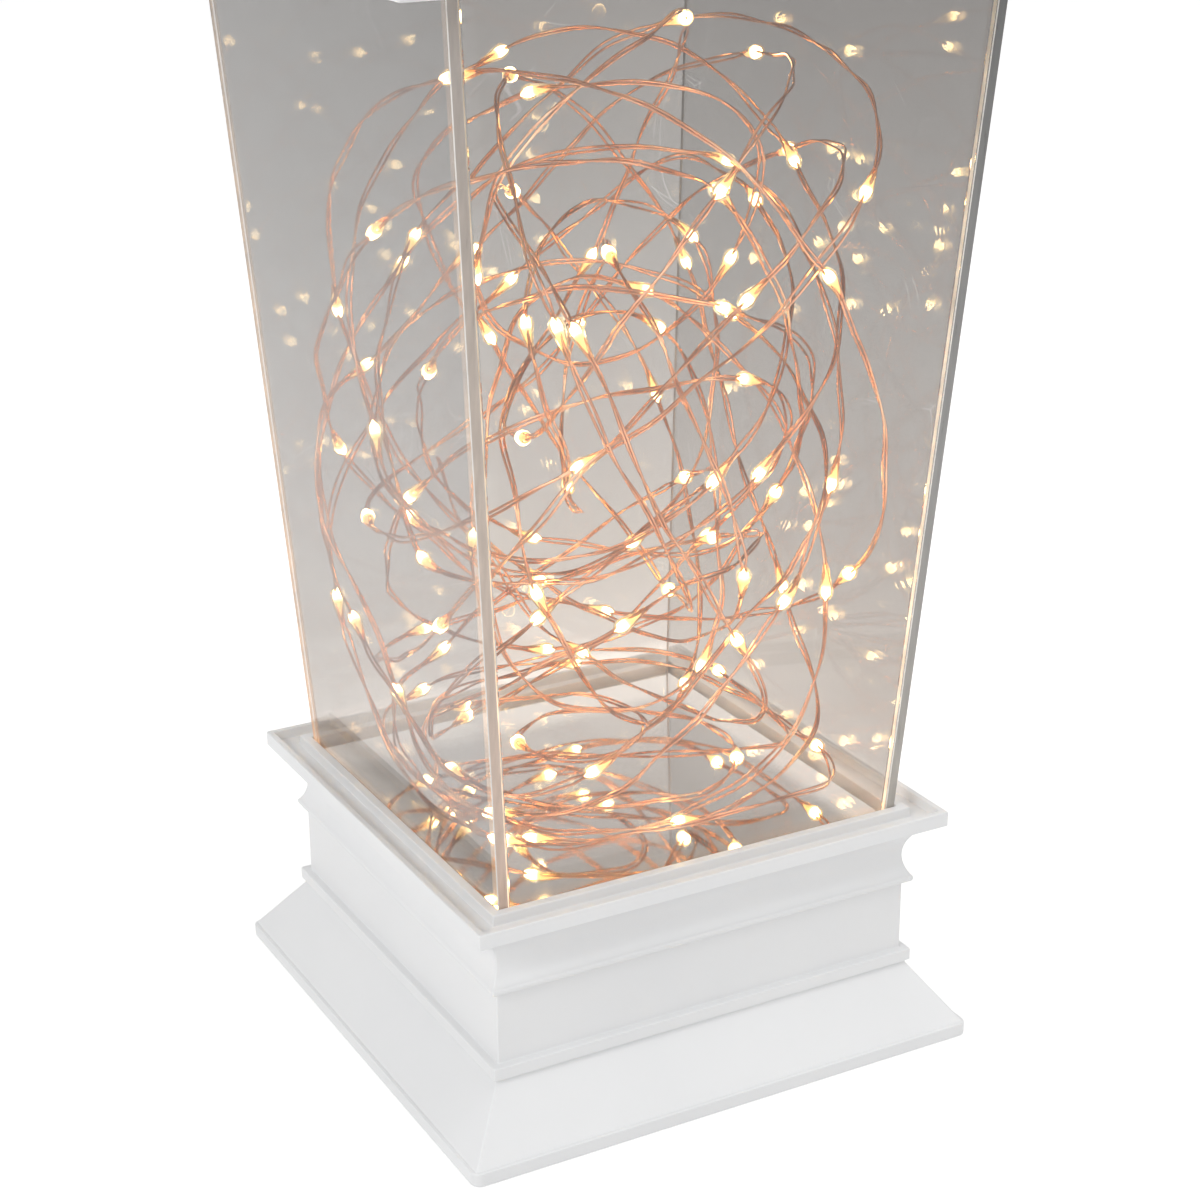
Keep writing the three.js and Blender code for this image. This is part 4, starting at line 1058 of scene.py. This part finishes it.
def droplet_radius(share):
    """Radius of a drop along its length: blunt at the start, with a long tail."""
    head = np.sqrt(np.clip(1 - (1 - np.clip(share / DROPLET_SHOULDER, 0, 1)) ** 2, 0, 1))
    behind = np.clip((share - DROPLET_SHOULDER) / (1 - DROPLET_SHOULDER), 0, 1)
    tail = DROPLET_TAIL + (1 - DROPLET_TAIL) * (1 - behind) ** 1.3
    return DROPLET_DIAMETER / 2 * np.minimum(head, tail)


def droplet(line, span, steps=20, sides=14):
    """A resin drop on the wire, with a value for each vertex of its painted glow, highest at its blunt end.
    """
    share = (1 - np.cos(np.linspace(0, math.pi, steps))) / 2
    radii = np.maximum(droplet_radius(share), 0.1)
    vertices, faces = tube(along_stretch(line, span, share), radii, sides)
    return vertices, faces, np.repeat(np.clip(1.15 - 1.35 * share, 0, 1), sides)


def diode_core(line, span, brightness, steps=16, sides=10):
    """The lit heart of a droplet, hottest near its blunt end; some are dimmer."""
    share = np.linspace(CORE_START, CORE_END, steps)
    rounding = np.sqrt(np.clip(1 - np.linspace(-1, 1, steps) ** 4, 0.01, 1))
    radii = CORE_SHARE * droplet_radius(share) * rounding
    vertices, faces = tube(along_stretch(line, span, share), radii, sides)
    heat = brightness * np.clip(1 - (share - CORE_START) / CORE_HOT, 0, 1) ** 4
    return vertices, faces, np.repeat(heat, sides)


def glowing(name, parts, material):
    """One piece from parts that each have vertices, faces and glow values."""
    vertices, faces = merged(*[(v, f) for v, f, _ in parts])
    piece = mesh_piece(name, vertices, faces, [material], sharp=60)
    values = piece.data.attributes.new("glow", "FLOAT", "POINT")
    values.data.foreach_set("value", np.concatenate([value for _, _, value in parts]).astype(np.float32))
    return piece


def light_string():
    route, stretches = string_route()
    line = crimped(smooth_curve(route, CURVE_STEPS))
    spans = droplet_spans(line, stretches)
    wire = mesh_piece("twin_wire", *twin_strands(line, spans), [COPPER], sharp=60)
    stand_for(wire, "copper_wire", "light_string")
    chance = np.random.default_rng(DIODE_SEED).random(len(spans))
    brightness = DIODE_DIMMEST + (1 - DIODE_DIMMEST) * chance**0.8
    drops = glowing("led_droplets", [droplet(line, span) for span in spans], RESIN)
    cores = glowing("led_diodes", [diode_core(line, *lit) for lit in zip(spans, brightness)], DIODE)
    for piece in (drops, cores):
        stand_for(piece, "led_droplet")


# Top

def top_frame():
    rail_outer = BODY_TOP_WIDTH / 2 - SHEET_ACROSS - FIT
    channel_outer = body_half(PANEL_TOP) + FIT
    seat_half = ROOF_WIDTH / 2 - WALL - FIT
    section = [
        (rail_outer - RAIL_WIDTH - CORNER, WEB_FOOT),
        (rail_outer - RAIL_WIDTH, WEB_FOOT),
        (rail_outer - RAIL_WIDTH, BRIM_FOOT),
        (rail_outer, BRIM_FOOT),
        (rail_outer, WEB_FOOT),
        (channel_outer, WEB_FOOT),
        (channel_outer, BRIM_FOOT),
        (BRIM_WIDTH / 2, BRIM_FOOT),
        (BRIM_WIDTH / 2, BRIM_TOP),
        (seat_half, BRIM_TOP),
        (seat_half, WEB_TOP),
        (seat_half - CORNER, WEB_TOP),
    ]
    moulding("brim_frame", "top_frame", section, SOFT_EDGE, lambda half, z: CORNER)


def roof():
    eaves, ridge = (ROOF_WIDTH / 2, ROOF_EAVES), (ROOF_TOP_WIDTH / 2, ROOF_TOP)
    inside_half = ROOF_WIDTH / 2 - WALL
    ceiling = ROOF_TOP - WALL
    under = arc(eaves, ridge, ROOF_SAG, 32, WALL)
    inner = [(half, z) for half, z in under if half < inside_half and z < ceiling]
    section = [
        (inner[-1][0] - CORNER, ceiling),
        *reversed(inner),
        (inside_half, inner[0][1]),
        (inside_half, ROOF_FOOT),
        (ROOF_WIDTH / 2, ROOF_FOOT),
        *arc(eaves, ridge, ROOF_SAG, 32),
        (ROOF_TOP_WIDTH / 2 - CORNER, ROOF_TOP),
    ]
    moulding("roof_shell", "roof", section, SOFT_EDGE, lambda half, z: SOFT_EDGE)


def vent_cap():
    inside_half = CAP_NECK_WIDTH / 2 - WALL
    cove_low = (CAP_NECK_WIDTH / 2, CAP_FOOT + CAP_NECK_HEIGHT)
    cove_high = (CAP_BRIM_WIDTH / 2 - COVE_SETBACK, CAP_BRIM_FOOT)
    section = [
        (inside_half - CORNER, CAP_BRIM_FOOT),
        (inside_half, CAP_BRIM_FOOT),
        (inside_half, CAP_FOOT),
        (CAP_NECK_WIDTH / 2, CAP_FOOT),
        *arc(cove_low, cove_high, CAP_COVE_SAG, 12),
        (CAP_BRIM_WIDTH / 2, CAP_BRIM_FOOT),
        (CAP_BRIM_WIDTH / 2, CAP_BRIM_TOP),
        (CAP_TOP_WIDTH / 2, CAP_TOP),
        (CAP_TOP_WIDTH / 2 - SOFT_EDGE, CAP_TOP),
    ]
    moulding("vent_cap_shell", "vent_cap", section, SOFT_EDGE, lambda half, z: SOFT_EDGE)


def ring_lug():
    flange_top = LUG_FOOT + LUG_FLANGE_HEIGHT
    stud_foot = ROOF_TOP - WALL - STUD_PROJECTION
    neck_top = flange_top + EYE_WIRE / 3
    section = [
        (0, stud_foot),
        (LUG_STUD_RADIUS, stud_foot),
        (LUG_STUD_RADIUS, LUG_FOOT),
        (LUG_FLANGE_RADIUS, LUG_FOOT),
        (LUG_FLANGE_RADIUS, flange_top),
        (EYE_WIRE / 2, neck_top),
        (0, neck_top),
    ]
    eye_vertices, eye_faces = torus(EYE_RADIUS, EYE_WIRE, 40, 16)
    standing = eye_vertices[:, [2, 1, 0]] + np.array([0, 0, EYE_LEVEL])
    eye_faces = [tuple(reversed(face)) for face in eye_faces]
    vertices, faces = merged(lathe(rounded(section, EDGE), 32), (standing, eye_faces))
    piece = mesh_piece("ring_lug_turned", vertices, faces, [POWDER_COAT])
    stand_for(piece, "painted_steel", "ring_lug")


def carry_ring():
    radius = (RING_DIAMETER - RING_WIRE) / 2
    vertices, faces = torus(radius, RING_WIRE, 96, 20)
    edge_out, edge_down = CAP_BRIM_WIDTH / 2, EYE_LEVEL - CAP_BRIM_TOP
    clearance = math.asin((RING_WIRE / 2 + FIT) / math.hypot(edge_out, edge_down))
    droop = math.atan2(edge_down, edge_out) - clearance
    turn = np.array(Matrix.Rotation(-droop, 3, "X"))
    vertices = (vertices + np.array([0, radius, 0])) @ turn.T + np.array([0, 0, EYE_LEVEL])
    piece = mesh_piece("carry_ring_round", vertices, faces, [POWDER_COAT], sharp=60)
    stand_for(piece, "painted_steel", "carry_ring", body="ring")


# Small pieces

def screw(node, countersunk):
    """A screw with a cross recess, in the place of a plain one that stands on its head."""
    low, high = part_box(node)
    middle = (low + high) / 2 / MM
    head_foot = low.z / MM
    neck = head_foot + SCREW_HEAD_HEIGHT
    tip = head_foot + SCREW_LENGTH
    bevel = SCREW_HEAD_HEIGHT / 2
    head = [(SCREW_HEAD_RADIUS, head_foot)]
    if not countersunk:
        head = [
            (SCREW_HEAD_RADIUS - bevel, head_foot),
            (SCREW_HEAD_RADIUS, head_foot + bevel),
            (SCREW_HEAD_RADIUS, neck),
        ]
    shank = [(SCREW_RADIUS, neck), (SCREW_RADIUS, tip - SCREW_RADIUS), (0, tip)]
    vertices, faces = lathe(rounded([(0, head_foot), *head, *shank], SCREW_EDGE, 3), SCREW_SIDES)
    piece = mesh_piece(f"{node}_driven", vertices + np.array([middle.x, middle.y, 0]), faces, [NICKEL])
    for length, width in ((SCREW_CROSS_LENGTH, SCREW_CROSS_WIDTH), (SCREW_CROSS_WIDTH, SCREW_CROSS_LENGTH)):
        recess(piece, (middle.x, middle.y, head_foot), length, width)
    stand_for(piece, "nickel", node)


def recess(piece, place, length, width):
    """One slot of a cross recess, cut upwards from a screw's head."""
    bpy.ops.mesh.primitive_cube_add(size=1, location=Vector(place) * MM)
    tool = bpy.context.object
    tool.scale = (length * MM, width * MM, 2 * SCREW_CROSS_DEPTH * MM)
    modifier = piece.modifiers.new("recess", "BOOLEAN")
    modifier.object = tool
    modifier.operation = "DIFFERENCE"
    bpy.context.view_layer.objects.active = piece
    bpy.ops.object.modifier_apply(modifier=modifier.name)
    bpy.data.objects.remove(tool)


def screws():
    for number in range(1, 5):
        screw(f"cover_screw_{number}", True)
        screw(f"roof_screw_{number}", False)


def soften(node):
    """A kept solid gets small rounded edges."""
    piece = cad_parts[node]
    piece.modifiers.new("weld", "WELD").merge_threshold = KEPT_WELD * MM
    flats = piece.modifiers.new("flats", "DECIMATE")
    flats.decimate_type = "DISSOLVE"
    flats.angle_limit = math.radians(KEPT_FLAT_ANGLE)
    edges = piece.modifiers.new("edges", "BEVEL")
    edges.width = KEPT_EDGE * MM
    edges.segments = 2
    edges.limit_method = "ANGLE"
    edges.angle_limit = math.radians(KEPT_EDGE_ANGLE)
    edges.harden_normals = True


def dress(material, *nodes):
    """A kept solid's own material."""
    for node in nodes:
        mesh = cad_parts[node].data
        mesh.materials.clear()
        mesh.materials.append(material)


def kept_solids():
    dress(WHITE, "bottom_cover", "battery_door")
    dress(MIRRORED, "mirror_floor")
    dress(BLACK, "battery_holder", "switch_housing", "switch_knob")
    dress(JACKET, "battery_cell_1", "battery_cell_2", "battery_cell_3")
    dress(NICKEL, "negative_contact", "front_bridge_contact", "rear_bridge_contact", "positive_contact")
    dress(NICKEL, "lug_nut")
    dress(LAMINATE, "timer_board")
    dress(BLACK_INSULATION, "negative_lead")
    dress(RED_INSULATION, "positive_lead")
    for node in ("bottom_cover", "battery_door", "switch_knob"):
        soften(node)


# Stage

def seen(tree):
    """1 where a surface is seen, mirrored or through glass too, and 0 where it only lights."""
    paths = tree.nodes.new("ShaderNodeLightPath")
    value = paths.outputs["Is Camera Ray"]
    for name in ("Is Glossy Ray", "Is Transmission Ray"):
        either = tree.nodes.new("ShaderNodeMath")
        either.operation = "MAXIMUM"
        tree.links.new(value, either.inputs[0])
        tree.links.new(paths.outputs[name], either.inputs[1])
        value = either.outputs["Value"]
    return value


def floor_material():
    """Pale floor that keeps the shadow and meets a white background."""
    look = Shading("studio_floor", roughness=0.9)
    look.mottle(look.noise(2), (0.78, 0.78, 0.78), (0.81, 0.81, 0.81))
    look.light((1, 1, 1, 1), look.span(seen(look.tree), 0.0, FLOOR_GLOW))
    return look.material


def floor():
    corners = FLOOR_REACH * np.array([(-1, -1, 0), (1, -1, 0), (1, 1, 0), (-1, 1, 0)])
    piece = mesh_piece("studio_floor", corners, [(0, 1, 2, 3)], [floor_material()])
    piece.location.z = -FLOOR_DROP * MM


def sky():
    """White where it is seen, and a plain soft light elsewhere."""
    world = bpy.data.worlds.new("studio")
    bpy.context.scene.world = world
    world.use_nodes = True
    tree = world.node_tree
    light = tree.nodes["Background"]
    light.inputs["Color"].default_value = (1, 1, 1, 1)
    strength = tree.nodes.new("ShaderNodeMapRange")
    strength.inputs["To Min"].default_value = SKY_LIGHT
    strength.inputs["To Max"].default_value = 1.0
    tree.links.new(seen(tree), strength.inputs["Value"])
    tree.links.new(strength.outputs["Result"], light.inputs["Strength"])


def lamps():
    for name, (place, width, power) in LAMPS.items():
        data = bpy.data.lights.new(name, "AREA")
        data.size = width * MM
        data.energy = power
        lamp = new_object(name, data)
        lamp.location = Vector(place) * MM
        towards = Vector(LAMP_TARGET) - Vector(place)
        lamp.rotation_euler = towards.to_track_quat("-Z", "Y").to_euler()


def camera():
    yaw, pitch, roll = (math.radians(angle) for angle in (CAMERA_YAW, CAMERA_PITCH, CAMERA_ROLL))
    ahead = Vector((math.sin(yaw) * math.cos(pitch), math.cos(yaw) * math.cos(pitch), -math.sin(pitch)))
    level = Vector((math.cos(yaw), -math.sin(yaw), 0))
    above = level.cross(ahead)
    right = math.cos(roll) * level + math.sin(roll) * above
    up = math.cos(roll) * above - math.sin(roll) * level
    data = bpy.data.cameras.new("photo_camera")
    data.lens = CAMERA_LENS
    data.clip_start = CAMERA_NEAR * MM
    eye = new_object("photo_camera", data)
    turn = Matrix((right, up, -ahead)).transposed().to_4x4()
    eye.matrix_world = Matrix.Translation(Vector(CAMERA_PLACE) * MM) @ turn
    bpy.context.scene.camera = eye


camera()
light_string()
plinth()
panels()
top_frame()
roof()
vent_cap()
ring_lug()
carry_ring()
screws()
kept_solids()
floor()
sky()
lamps()
bpy.context.scene.view_settings.view_transform = "Standard"
